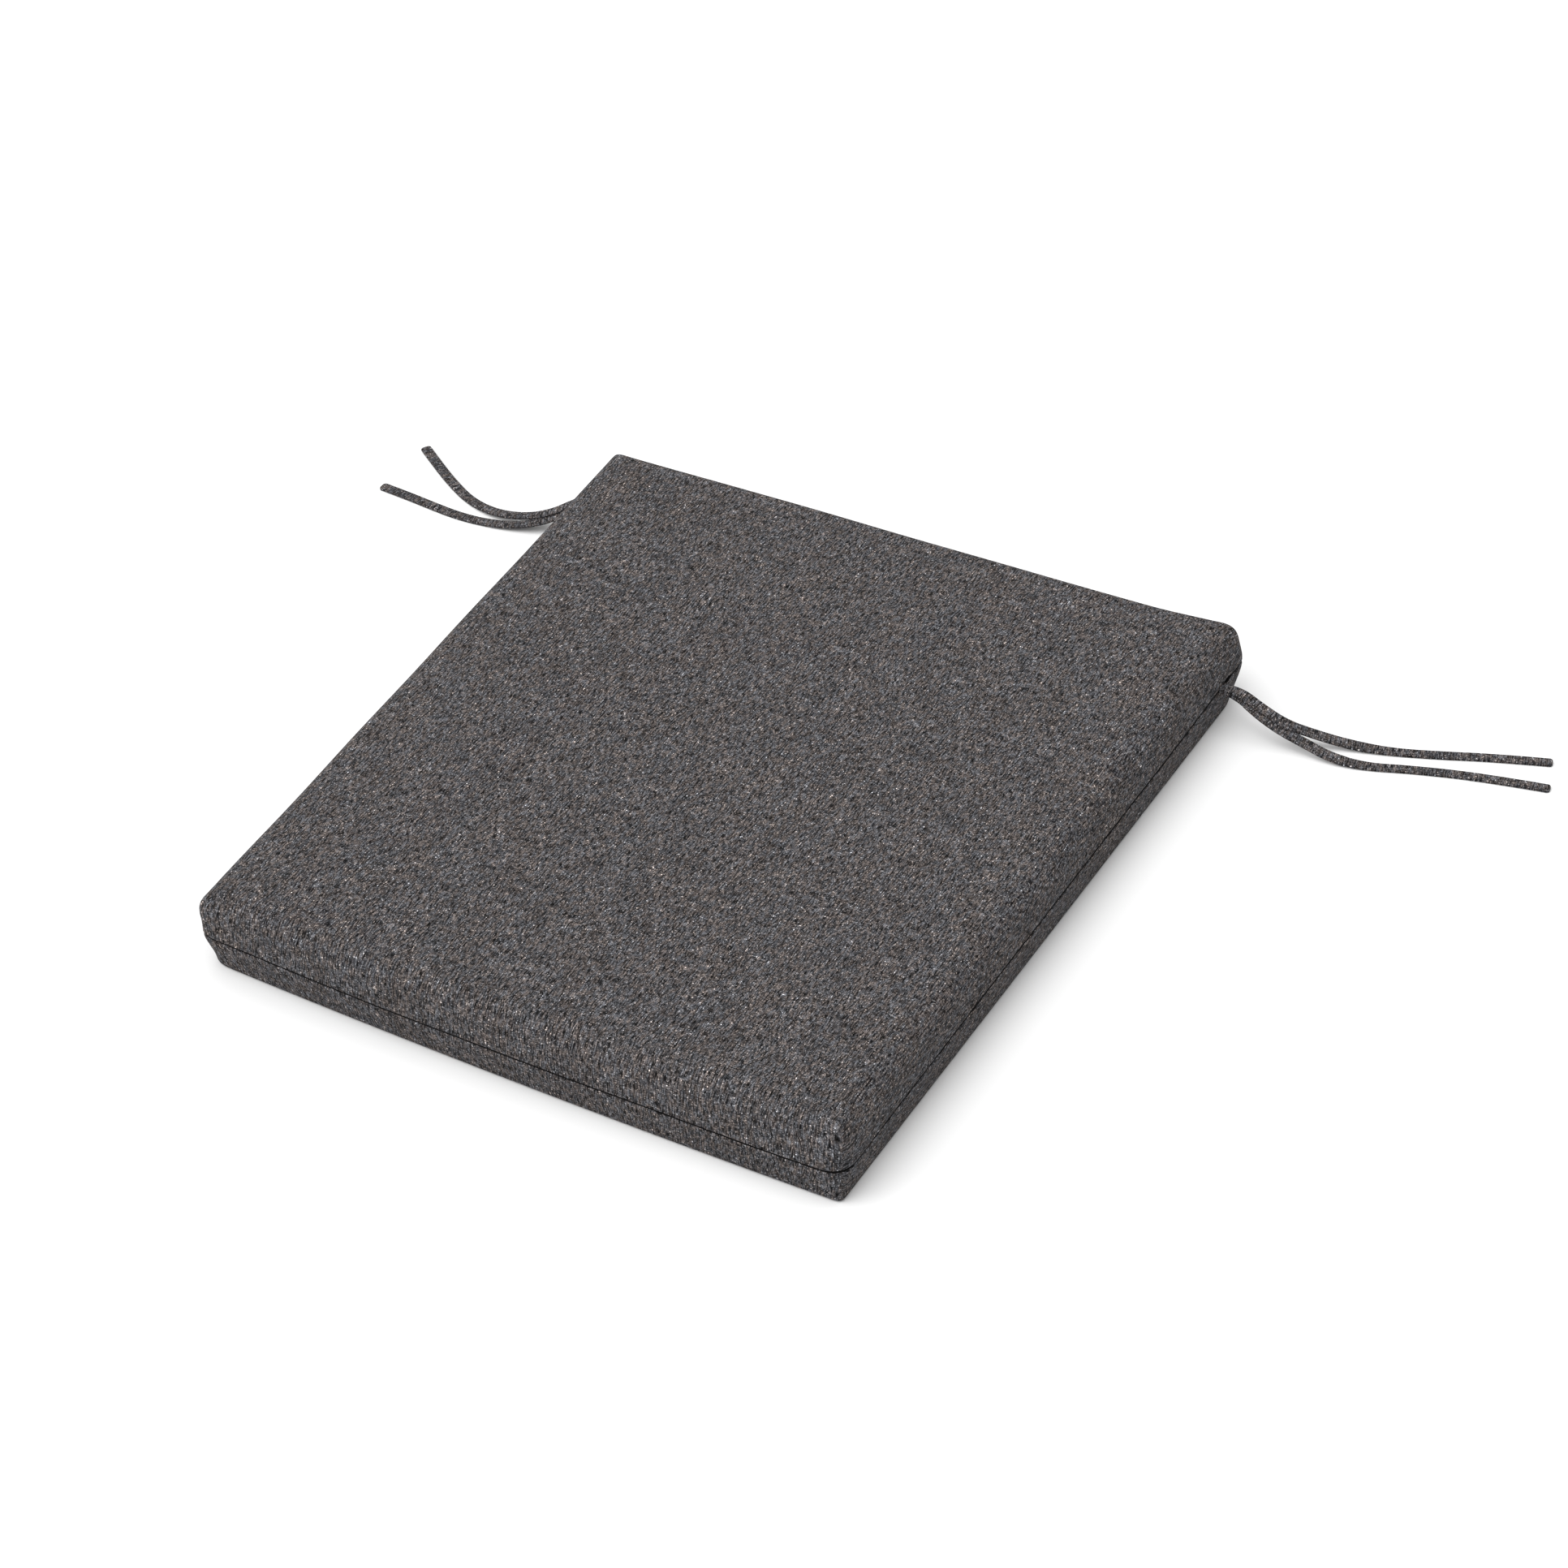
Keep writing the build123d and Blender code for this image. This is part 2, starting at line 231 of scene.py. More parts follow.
@dataclass
class SharedEffects:
    """Shader groups that are built once and placed in several finishes."""

    pattern: WeavePattern = WeavePattern()
    weave: bpy.types.NodeTree = field(init=False)
    fibre: bpy.types.NodeTree = field(init=False)

    def __post_init__(self) -> None:
        """Build both groups."""
        self.weave = self.build_weave()
        self.fibre = self.build_fibre()

    def build_weave(self) -> bpy.types.NodeTree:
        """Build the plain weave of slubbed yarns.

        Returns:
            A group from a place on the cloth to its colour, its height and its wear.
        """
        group = bpy.data.node_groups.new("plain_weave", "ShaderNodeTree")
        t = Tree(group)
        t.socket("Place", "Vector")
        t.socket("Yarns per Metre", "Float", value=1400.0)
        t.socket("Dark Yarn", "Color", value=rgba(0.02, 0.02, 0.02))
        t.socket("Light Yarn", "Color", value=rgba(0.2, 0.2, 0.2))
        t.socket("Slub", "Color", value=rgba(0.5, 0.5, 0.5))
        t.socket("Warm Tone", "Color", value=rgba(1.2, 1.0, 0.85))
        t.socket("Cool Tone", "Color", value=rgba(0.85, 1.0, 1.2))
        t.socket("Slub Share", "Float", value=0.1)
        t.socket("Color", "Color", incoming=False)
        t.socket("Height", "Float", incoming=False)
        t.socket("Wear", "Float", incoming=False)
        given = t.add("NodeGroupInput").outputs
        place, count = given["Place"], given["Yarns per Metre"]
        pattern = self.pattern

        # The yarns wander a little from straight
        wander = t.add("ShaderNodeTexNoise", {
            "Vector": place, "Scale": pattern.wander_per_metre, "Detail": 2.0,
        }).outputs["Color"]
        drift = t.vector("ADD", wander, (-0.5, -0.5, -0.5))
        bent = t.vector("ADD", place, t.scale(drift, pattern.wander_reach))
        parts = t.add("ShaderNodeSeparateXYZ", {0: t.scale(bent, count)}).outputs
        across, along = parts[0], parts[1]
        warp_index, weft_index = t.math("FLOOR", across), t.math("FLOOR", along)
        over = t.math("PINGPONG", t.math("ADD", warp_index, weft_index), 1.0)

        # Each yarn has its own tone, and its slubs run along it
        heights, tones, slubs = [], [], []
        for index, run, cross, seed in (
            (warp_index, along, across, 3.7),
            (weft_index, across, along, 11.3),
        ):
            own = t.add("ShaderNodeTexWhiteNoise", {"W": t.math("ADD", index, seed)}, noise_dimensions="1D")
            lane = t.math("MULTIPLY", index, pattern.lane_step)
            streak_place = t.join(t.math("MULTIPLY", run, pattern.streaks_per_yarn), lane, seed)
            streak = t.ramp(t.noise(streak_place, 1.0, 3.0, 0.62), 0.30, 0.72, 0.0, pattern.streak_tone)
            own_tone = t.math("MULTIPLY", own.outputs["Value"], pattern.own_tone)
            tones.append(t.math("ADD", own_tone, streak))
            slub_run = t.math("MULTIPLY", run, pattern.slubs_per_yarn)
            slub_noise = t.noise(t.join(slub_run, lane, seed + pattern.slub_seed), 1.0, 1.0)
            share = t.math("SUBTRACT", 1.0, given["Slub Share"])
            slubs.append(t.ramp(slub_noise, share, t.math("ADD", share, pattern.slub_edge)))
            inside = t.math("SUBTRACT", t.math("MULTIPLY", t.math("FRACT", cross), 2.0), 1.0)
            bow = t.math("SUBTRACT", t.math("MULTIPLY", t.math("FRACT", run), 2.0), 1.0)
            round_yarn = t.math("SUBTRACT", 1.0, t.math("MULTIPLY", inside, inside))
            arch = t.math("SUBTRACT", 1.0, t.math("MULTIPLY", t.math("MULTIPLY", bow, bow), pattern.arch))
            heights.append(t.math("MULTIPLY", round_yarn, arch))
        height = t.blend(over, heights[0], heights[1])
        tone = t.blend(over, tones[0], tones[1])
        slub = t.blend(over, slubs[0], slubs[1])

        # Broad mottling, longer down the cloth than across it
        wide = t.vector("MULTIPLY", place, pattern.mottle_stretch)
        warmth = t.noise(wide, pattern.warmth_per_metre, 3.0, 0.6)
        patches = t.noise(wide, pattern.patches_per_metre)
        depth = t.noise(wide, pattern.depth_per_metre, 3.0, 0.6)
        body = t.mix(tone, given["Dark Yarn"], given["Light Yarn"])
        body = t.mix(slub, body, given["Slub"])

        # Clumps of yarns lie paler or deeper together, along the weft and along the warp
        clumps = []
        for clump in (pattern.along_weft, pattern.along_warp):
            laid = t.vector("MULTIPLY", bent, clump.per_metre)
            moved = t.vector("ADD", laid, (clump.seed, clump.seed, clump.seed))
            clumps.append(t.ramp(t.noise(moved, 1.0), 0.28, 0.74, clump.deep, clump.pale))
        fleck_place = t.vector("MULTIPLY", bent, pattern.flecks_per_metre)
        flecks = t.ramp(t.noise(fleck_place, 1.0, 1.0), 0.60, 0.71, 0.0, pattern.fleck_tone)
        body = t.mix(flecks, t.scale(body, t.math("MULTIPLY", *clumps)), given["Slub"])

        # The yarns' dye leans to blue or to brown; painted shade darkens the cloth between its yarns and
        # where each yarn dips under the next, and painted light lifts the yarn tops a little
        lean = t.blend(pattern.patch_share, warmth, patches)
        cast = t.mix(t.ramp(lean, 0.39, 0.61), given["Cool Tone"], given["Warm Tone"])
        dyed = t.vector("MULTIPLY", body, cast)
        # Painted shade and highlight: the colour falls to 0.35 where the yarn relief is lowest and rises to
        # 1.12 on the yarn tops
        painted_gap_shade = t.ramp(height, 0.0, 0.7, 0.35, 1.12)
        level = t.math("MULTIPLY", painted_gap_shade, t.ramp(depth, 0.28, 0.72, 0.84, 1.16))
        colour = t.scale(dyed, level)
        fuzz = t.math("MULTIPLY", t.noise(place, pattern.fuzz_per_metre), pattern.fuzz_height)
        relief = t.math("ADD", t.math("ADD", height, fuzz), t.math("MULTIPLY", slub, pattern.slub_height))
        t.add("NodeGroupOutput", {"Color": colour, "Height": relief, "Wear": depth})
        return group

    def build_fibre(self) -> bpy.types.NodeTree:
        """Build a mat of loose fibres, for wadding, thread and foam.

        Returns:
            A group from a place to a fibre height and a blotch mask.
        """
        group = bpy.data.node_groups.new("loose_fibre", "ShaderNodeTree")
        t = Tree(group)
        t.socket("Place", "Vector")
        t.socket("Strands per Metre", "Float", value=900.0)
        t.socket("Height", "Float", incoming=False)
        t.socket("Blotch", "Float", incoming=False)
        given = t.add("NodeGroupInput").outputs
        curl = t.add("ShaderNodeTexNoise", {"Vector": given["Place"], "Scale": 60.0}).outputs["Color"]
        bent = t.vector("ADD", given["Place"], t.scale(curl, 0.02))
        stretched = t.vector("MULTIPLY", bent, (0.15, 1.0, 0.6))
        strands = t.noise(stretched, given["Strands per Metre"], 3.0)
        blotch = t.noise(given["Place"], 40.0, 3.0)
        t.add("NodeGroupOutput", {"Height": strands, "Blotch": blotch})
        return group


def use(t: Tree, group: bpy.types.NodeTree, inputs: dict[str, Any]) -> bpy.types.Node:
    """Place a shader group in a material.

    Args:
        t: The material's tree.
        group: The group.
        inputs: What its inputs are set to or wired from.

    Returns:
        The group's node.
    """
    node = t.tree.nodes.new("ShaderNodeGroup")
    node.node_tree = group
    for name, value in inputs.items():
        if isinstance(value, bpy.types.NodeSocket):
            t.tree.links.new(value, node.inputs[name])
        else:
            node.inputs[name].default_value = value
    return node


@dataclass(frozen=True)
class Finish:
    """A material, with the constants of its surface."""

    name: str
    roughness: float
    relief: float
    sheen: float = 0.0
    specular: float = 0.35
    metallic: float = 0.0
    bump_strength: float = 0.8
    sheen_roughness: float = 0.5

    def start(self) -> tuple[bpy.types.Material, Tree]:
        """Make an empty material.

        Returns:
            The material and its tree.
        """
        material = bpy.data.materials.new(self.name)
        material.use_nodes = True
        return material, Tree(material.node_tree)

    def surface(self, t: Tree, colour: Any, height: Any, rough: Any | None = None) -> None:
        """End a material in a Principled surface with relief.

        Args:
            t: The material's tree.
            colour: The socket or colour of its base.
            height: The socket of its relief.
            rough: A socket for its roughness, or None for the constant.
        """
        bump = t.add("ShaderNodeBump", {
            "Strength": self.bump_strength, "Distance": self.relief, "Height": height,
        })
        shader = t.add("ShaderNodeBsdfPrincipled", {"Base Color": colour, "Normal": bump.outputs["Normal"]})
        shader.inputs["Roughness"].default_value = self.roughness
        if rough is not None:
            t.tree.links.new(rough, shader.inputs["Roughness"])
        shader.inputs["Sheen Weight"].default_value = self.sheen
        shader.inputs["Sheen Roughness"].default_value = self.sheen_roughness
        shader.inputs["Specular IOR Level"].default_value = self.specular
        shader.inputs["Metallic"].default_value = self.metallic
        t.add("ShaderNodeOutputMaterial", {"Surface": shader.outputs["BSDF"]})


@dataclass(frozen=True)
class TweedFinish(Finish):
    """Charcoal tweed in plain weave, with pale slubs and a warm and cool cast in the yarn."""

    yarns: float = 1390.0
    dark: tuple = rgba(0.0100, 0.0091, 0.0095)
    light: tuple = rgba(0.0850, 0.0795, 0.0800)
    slub: tuple = rgba(0.38, 0.355, 0.345)
    warm: tuple = rgba(1.10, 1.00, 0.93)
    cool: tuple = rgba(0.92, 1.00, 1.09)
    slub_share: float = 0.33

    def build(self, shared: SharedEffects) -> bpy.types.Material:
        """Return the material, whose weave follows the cloth's own map."""
        material, t = self.start()
        place = t.add("ShaderNodeUVMap", uv_map=WEAVE_MAP).outputs["UV"]
        cloth = use(t, shared.weave, {
            "Place": place, "Yarns per Metre": self.yarns, "Slub Share": self.slub_share,
            "Dark Yarn": self.dark, "Light Yarn": self.light, "Slub": self.slub,
            "Warm Tone": self.warm, "Cool Tone": self.cool,
        })
        rough = t.ramp(cloth.outputs["Wear"], 0.2, 0.8, self.roughness - 0.06, self.roughness + 0.05)
        self.surface(t, cloth.outputs["Color"], cloth.outputs["Height"], rough)
        return material


@dataclass(frozen=True)
class FibreFinish(Finish):
    """A matt fibrous stuff: thread, wadding, foam or the near-black painted seam shade, with painted shade
    where its strands or pores lie low.
    """

    strands: float = 900.0
    # deep is the painted shade where the strands or pores lie low, pale the colour where they stand high
    deep: tuple = rgba(0.02, 0.02, 0.02)
    pale: tuple = rgba(0.05, 0.05, 0.05)
    pores_per_metre: float = 0.0

    def build(self, shared: SharedEffects) -> bpy.types.Material:
        """Return the material, in the piece's own coordinates."""
        material, t = self.start()
        place = t.add("ShaderNodeTexCoord").outputs["Object"]
        fibre = use(t, shared.fibre, {"Place": place, "Strands per Metre": self.strands})
        height, blotch = fibre.outputs["Height"], fibre.outputs["Blotch"]
        if self.pores_per_metre:
            cells = t.add("ShaderNodeTexVoronoi", {"Vector": place, "Scale": self.pores_per_metre})
            height = t.ramp(cells.outputs["Distance"], 0.1, 0.6)
        # Painted shade: the colour runs from deep where the strands or pores lie low to pale where they
        # stand high, mixed with random blotches
        painted_shade_and_blotch = t.math("ADD", t.math("MULTIPLY", height, 0.6), t.math("MULTIPLY", blotch, 0.4))
        colour = t.mix(t.ramp(painted_shade_and_blotch, 0.25, 0.75), self.deep, self.pale)
        self.surface(t, colour, height)
        return material


@dataclass(frozen=True)
class TapeFinish(Finish):
    """Narrow woven tape or satin, ribbed across its width, with painted shade in the valleys between its
    ribs.
    """

    ribs: float = 1400.0
    # deep is the painted shade in the rib valleys, pale the colour of the rib tops
    deep: tuple = rgba(0.012, 0.012, 0.013)
    pale: tuple = rgba(0.04, 0.04, 0.043)

    def build(self, shared: SharedEffects) -> bpy.types.Material:
        """Return the material, in the piece's own coordinates."""
        material, t = self.start()
        place = t.add("ShaderNodeTexCoord").outputs["Object"]
        parts = t.add("ShaderNodeSeparateXYZ", {0: place}).outputs
        chevron = t.math("PINGPONG", t.math("MULTIPLY", parts["Z"], self.ribs / 2), 3.0)
        slant = t.math("ADD", t.math("MULTIPLY", parts["X"], self.ribs), chevron)
        rib = t.math("ABSOLUTE", t.math("SINE", t.math("MULTIPLY", slant, pi)))
        blotch = use(t, shared.fibre, {"Place": place}).outputs["Blotch"]
        # Painted shade: the colour runs from deep in the rib valleys to pale on the rib tops, mixed with
        # random blotches
        painted_shade_and_blotch = t.math("ADD", t.math("MULTIPLY", rib, 0.7), t.math("MULTIPLY", blotch, 0.3))
        self.surface(t, t.mix(painted_shade_and_blotch, self.deep, self.pale), rib)
        return material


@dataclass(frozen=True)
class HardFinish(Finish):
    """Lacquered metal or moulded nylon, with fine grain and rubbed high spots."""

    base: tuple = rgba(0.03, 0.03, 0.033)
    rubbed: tuple = rgba(0.12, 0.12, 0.125)
    grain: float = 2500.0
    scuffs_per_metre: float = 420.0
    rubbed_share: float = 0.6

    def build(self, shared: SharedEffects) -> bpy.types.Material:
        """Return the material, in the piece's own coordinates."""
        material, t = self.start()
        place = t.add("ShaderNodeTexCoord").outputs["Object"]
        grain = t.noise(place, self.grain, 3.0)
        blotch = use(t, shared.fibre, {"Place": place}).outputs["Blotch"]
        scuffs = t.noise(place, self.scuffs_per_metre, 4.0, 0.7)
        rubbing = t.ramp(scuffs, 0.56, 0.70, 0.0, self.rubbed_share)
        colour = t.mix(rubbing, self.base, self.rubbed)
        rough = t.ramp(blotch, 0.3, 0.7, self.roughness - 0.06, self.roughness + 0.08)
        self.surface(t, colour, grain, rough)
        return material


@dataclass
class Finishes:
    """Every material of the pad, by the piece that wears it."""

    shared: SharedEffects = field(default_factory=SharedEffects)
    made: dict[str, bpy.types.Material] = field(default_factory=dict)

    def __post_init__(self) -> None:
        """Build the materials."""
        kinds = (
            TweedFinish("charcoal_tweed", roughness=0.9, relief=0.00035, specular=0.08),
            # Painted shade: a near-black cloth on the rolled seam edges and allowances, so that the seam
            # groove reads dark
            FibreFinish("painted_seam_shade_cloth", roughness=0.95, relief=0.0002, specular=0.1, strands=2000.0,
                        deep=rgba(0.003, 0.003, 0.003), pale=rgba(0.012, 0.011, 0.011)),
            FibreFinish("black_sewing_thread", roughness=0.75, relief=0.0001, strands=4000.0,
                        deep=rgba(0.008, 0.008, 0.009), pale=rgba(0.035, 0.034, 0.036)),
            FibreFinish("white_wadding", roughness=0.95, relief=0.0008, sheen=0.3, strands=500.0,
                        deep=rgba(0.62, 0.62, 0.61), pale=rgba(0.88, 0.88, 0.87)),
            FibreFinish("cream_foam", roughness=0.85, relief=0.0006, strands=500.0,
                        deep=rgba(0.55, 0.47, 0.28), pale=rgba(0.86, 0.79, 0.58), pores_per_metre=900.0),
            TapeFinish("black_zip_tape", roughness=0.8, relief=0.00012, sheen=0.1),
            TapeFinish("white_label_satin", roughness=0.5, relief=0.00004, ribs=3000.0,
                       deep=rgba(0.66, 0.66, 0.64), pale=rgba(0.88, 0.88, 0.86)),
            HardFinish("zip_nylon", roughness=0.38, relief=0.00002),
            HardFinish("zip_lacquered_metal", roughness=0.32, relief=0.00003, metallic=0.7,
                       base=rgba(0.045, 0.045, 0.05), rubbed=rgba(0.32, 0.31, 0.30)),
        )
        for finish in kinds:
            self.made[finish.name] = finish.build(self.shared)

    def __getitem__(self, name: str) -> bpy.types.Material:
        """Return the material of that name."""
        return self.made[name]


# ---------------------------------------------------------------------------------------------------------
# Meshes
# ---------------------------------------------------------------------------------------------------------
def make_object(
    name: str,
    points: np.ndarray,
    faces: Sequence[Sequence[int]],
    maps: Sequence[Any] | None = None,
    smooth: bool = True,
) -> bpy.types.Object:
    """Make a mesh object at the origin.

    Args:
        name: Its name.
        points: Its vertices.
        faces: Its faces, as vertex numbers.
        maps: The place on the cloth of every face corner, or None.
        smooth: True for smooth shading.

    Returns:
        The object.
    """
    mesh = bpy.data.meshes.new(name)
    mesh.from_pydata([tuple(map(float, p)) for p in points], [], [list(map(int, f)) for f in faces])
    if maps is not None:
        layer = mesh.uv_layers.new(name=WEAVE_MAP)
        layer.data.foreach_set("uv", np.asarray(maps, np.float32).ravel())
    if smooth:
        mesh.polygons.foreach_set("use_smooth", [True] * len(mesh.polygons))
    mesh.update()
    obj = bpy.data.objects.new(name, mesh)
    bpy.context.scene.collection.objects.link(obj)
    return obj


def dress(obj: bpy.types.Object, material: bpy.types.Material, slot: Slot, body: Body, *nodes: str) -> None:
    """Give a piece its material, ride it on a body, and hide the CAD nodes that it stands for.

    Args:
        obj: The piece.
        material: Its material.
        slot: Its finish slot; not used.
        body: The body that it rides on.
        nodes: The CAD nodes that it stands for.
    """
    obj.data.materials.clear()
    obj.data.materials.append(material)
    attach(obj, body.value)
    if nodes:
        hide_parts(*nodes)


def smooth_step(value: Any, low: float, high: float) -> Any:
    """Return 0 below low, 1 above high, and a smooth rise between."""
    t = np.clip((np.asarray(value, float) - low) / (high - low), 0.0, 1.0)
    return t * t * (3 - 2 * t)


def ripple(points: np.ndarray, per_metre: float, seed: float) -> np.ndarray:
    """Return smooth noise from -1 to 1 at each point."""
    offset = Vector((seed, -seed, 2 * seed))
    return np.array([noise.noise(Vector(p) * per_metre + offset) for p in points])


# ---------------------------------------------------------------------------------------------------------
# The pad's form
# ---------------------------------------------------------------------------------------------------------
@dataclass(frozen=True)
class Corner:
    """How far a corner of the soft pad sits from its square place, and how sharp it is, at three heights.

    A sharpness of 2 is a quarter circle, and a higher one comes closer to a square corner.
    """

    bottom: tuple[float, float]
    seam: tuple[float, float]
    top: tuple[float, float]
    sharpness: tuple[float, float, float]


@dataclass
class PadForm:
    """The pad's rounded outside, or one a set distance inside it."""

    inset: float = 0.0
    top_round: float = 15 * MM
    bottom_round: float = 3 * MM
    corner_zone: float = 16 * MM
    front_bow: float = 3.5 * MM
    front_seam_drop: float = 2.5 * MM
    wander: float = 0.9 * MM
    wander_per_metre: float = 9.0
    wander_seeds: tuple[float, float, float] = (1.3, 4.9, 8.2)
    wander_lift: float = 0.6
    wander_from: float = 12 * MM
    relief: float = 0.0
    zip_half: float = 205 * MM
    zip_ramp: float = 18 * MM
    zip_rise: float = 14 * MM
    zip_depth: float = 12 * MM
    zip_depth_ramp: float = 28 * MM
    pinch: float = 0.35
    pinch_reach: float = 60 * MM
    base_gap: float = 0.05 * MM
    front_left: Corner = Corner((0.0, 12 * MM), (-4 * MM, 5 * MM), (-4 * MM, 3.5 * MM), (3, 3.5, 7))
    front_right: Corner = Corner(
        (-3 * MM, -10 * MM), (0.5 * MM, -15 * MM), (-2.5 * MM, -10 * MM), (8, 2, 7)
    )
    back_right: Corner = Corner((3.5 * MM, 0.0), (6.5 * MM, 8 * MM), (3 * MM, 7 * MM), (3, 7, 4))
    back_left: Corner = Corner((-6 * MM, -1 * MM), (-8 * MM, 0.0), (-8 * MM, 1.5 * MM), (3, 3, 8))

    def __post_init__(self) -> None:
        """Take the pad's size from its panels."""
        low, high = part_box("upper_panel")
        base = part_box("lower_panel")[0]
        self.half_x = high.x - self.inset
        self.half_y = high.y - self.inset
        self.floor = base.z + self.inset
        self.ceiling = high.z - self.inset
        self.seam = low.z

    def levels(self, z: np.ndarray) -> tuple[np.ndarray, np.ndarray]:
        """Return how far each height is from the floor to the seam, and from the seam to the top."""
        return smooth_step(z, self.floor, self.seam), smooth_step(z, self.seam, self.ceiling)

    def sharpness(self, box: np.ndarray) -> np.ndarray:
        """Return how sharp the plan corner is at each point of the square box."""
        x, y, z = box.T
        low, high = self.levels(z)
        found = np.zeros_like(z)
        for corner, here in (
            (self.front_left, (x <= 0) & (y <= 0)),
            (self.front_right, (x > 0) & (y <= 0)),
            (self.back_right, (x > 0) & (y > 0)),
            (self.back_left, (x <= 0) & (y > 0)),
        ):
            bottom, seam, top = corner.sharpness
            found += here * (bottom + low * (seam - bottom) + high * (top - seam))
        return found

    def zip_hold(self, points: np.ndarray) -> np.ndarray:
        """Return 1 beside the zip and the label, where the cover keeps its square place."""
        x, y, z = points.T
        near = 1 - smooth_step(np.abs(x), self.zip_half, self.zip_half + self.zip_ramp)
        level = 1 - smooth_step(np.abs(z - self.seam), self.zip_rise, self.zip_rise + self.zip_ramp)
        full = self.half_y - self.zip_depth
        return near * level * smooth_step(y, full - self.zip_depth_ramp, full)

    def seam_level(self, y: Any) -> Any:
        """Return the seam's height, which dips a little along the front."""
        front = smooth_step(-np.asarray(y), 0.0, self.half_y)
        return self.seam - self.front_seam_drop * front

    def place(self, box: np.ndarray) -> tuple[np.ndarray, np.ndarray]:
        """Round a square box into the pad.

        Args:
            box: Points on the square box.

        Returns:
            The points on the pad, and the plan direction that each faces.
        """
        x, y, z = box.T
        zone = self.corner_zone
        power = self.sharpness(box)
        inner_x = np.clip(x, -(self.half_x - zone), self.half_x - zone)
        inner_y = np.clip(y, -(self.half_y - zone), self.half_y - zone)
        dx, dy = x - inner_x, y - inner_y
        reach = np.maximum(np.abs(dx), np.abs(dy))
        share_x, share_y = (np.abs(side) / np.maximum(reach, TINY) for side in (dx, dy))
        length = np.maximum(reach, TINY) * (share_x**power + share_y**power + TINY) ** (1 / power)
        out_x, out_y = dx / length, dy / length
        height = z.copy()
        inward = np.zeros_like(z)
        inset = zone - reach
        far = np.hypot(x - self.half_x, y - self.half_y)
        tight = 1 - self.pinch * (1 - smooth_step(far, 0.0, self.pinch_reach))
        for size, level, sign in (
            (self.top_round * tight, self.ceiling, 1),
            (self.bottom_round, self.floor, -1),
        ):
            side = np.clip(size - inset, 0, size)
            rise = np.clip(size - sign * (level - z), 0, size)
            active = (side > 0) & (rise > 0)
            shrink = size / np.maximum(np.hypot(side, rise), TINY)
            inward += np.where(active, side * (1 - shrink), 0)
            height -= sign * np.where(active, rise * (1 - shrink), 0)
        across = np.maximum(reach - inward, 0)
        points = np.stack([inner_x + out_x * across, inner_y + out_y * across, height], 1)
        return self.settle(points), np.stack([out_x, out_y, np.zeros_like(out_x)], 1)

    def settle(self, points: np.ndarray) -> np.ndarray:
        """Lean, bow and ripple the rounded form as soft goods do.

        Args:
            points: Points on the rounded form.

        Returns:
            The settled points.
        """
        x, y, z = points.T
        right = np.clip(x / self.half_x * 0.5 + 0.5, 0, 1)
        back = np.clip(y / self.half_y * 0.5 + 0.5, 0, 1)
        low, high = self.levels(z)
        shift = np.zeros((len(points), 2))
        corners = (
            (self.front_left, (1 - right) * (1 - back)),
            (self.front_right, right * (1 - back)),
            (self.back_right, right * back),
            (self.back_left, (1 - right) * back),
        )
        for corner, weight in corners:
            bottom, seam, top = (np.array(level) for level in (corner.bottom, corner.seam, corner.top))
            level = bottom + np.outer(low, seam - bottom) + np.outer(high, top - seam)
            shift += weight[:, None] * level
        front = smooth_step(-y, 0.0, self.half_y)
        middle = 1 - (x / self.half_x) ** 2
        shift[:, 1] -= self.front_bow * front * middle
        free = 1 - self.zip_hold(points)
        wave = self.wander * smooth_step(z, self.floor, self.floor + self.wander_from)
        side_wave, depth_wave, lift_wave = (
            wave * ripple(points, self.wander_per_metre, seed) for seed in self.wander_seeds
        )
        moved = points.copy()
        moved[:, 0] += (shift[:, 0] + side_wave) * free
        moved[:, 1] += (shift[:, 1] + depth_wave) * free
        moved[:, 2] += self.wander_lift * lift_wave * free
        moved[:, 1] -= self.relief * self.zip_hold(points)
        moved[:, 2] = np.maximum(moved[:, 2], self.floor + self.base_gap)
        return moved


def graded_lines(half: float, insets: Sequence[float], step: float) -> np.ndarray:
    """Return grid lines from -half to half, close together near the ends.

    Args:
        half: Half the length.
        insets: Distances of the first lines from each end.
        step: The spacing of the others.

    Returns:
        The lines, in order.
    """
    ends = np.array(insets)
    middle = half - ends[-1]
    count = max(2, round(2 * middle / step))
    inner = np.linspace(-middle, middle, count + 1)
    return np.concatenate([-(half - ends[:-1]), inner, (half - ends[:-1])[::-1]])


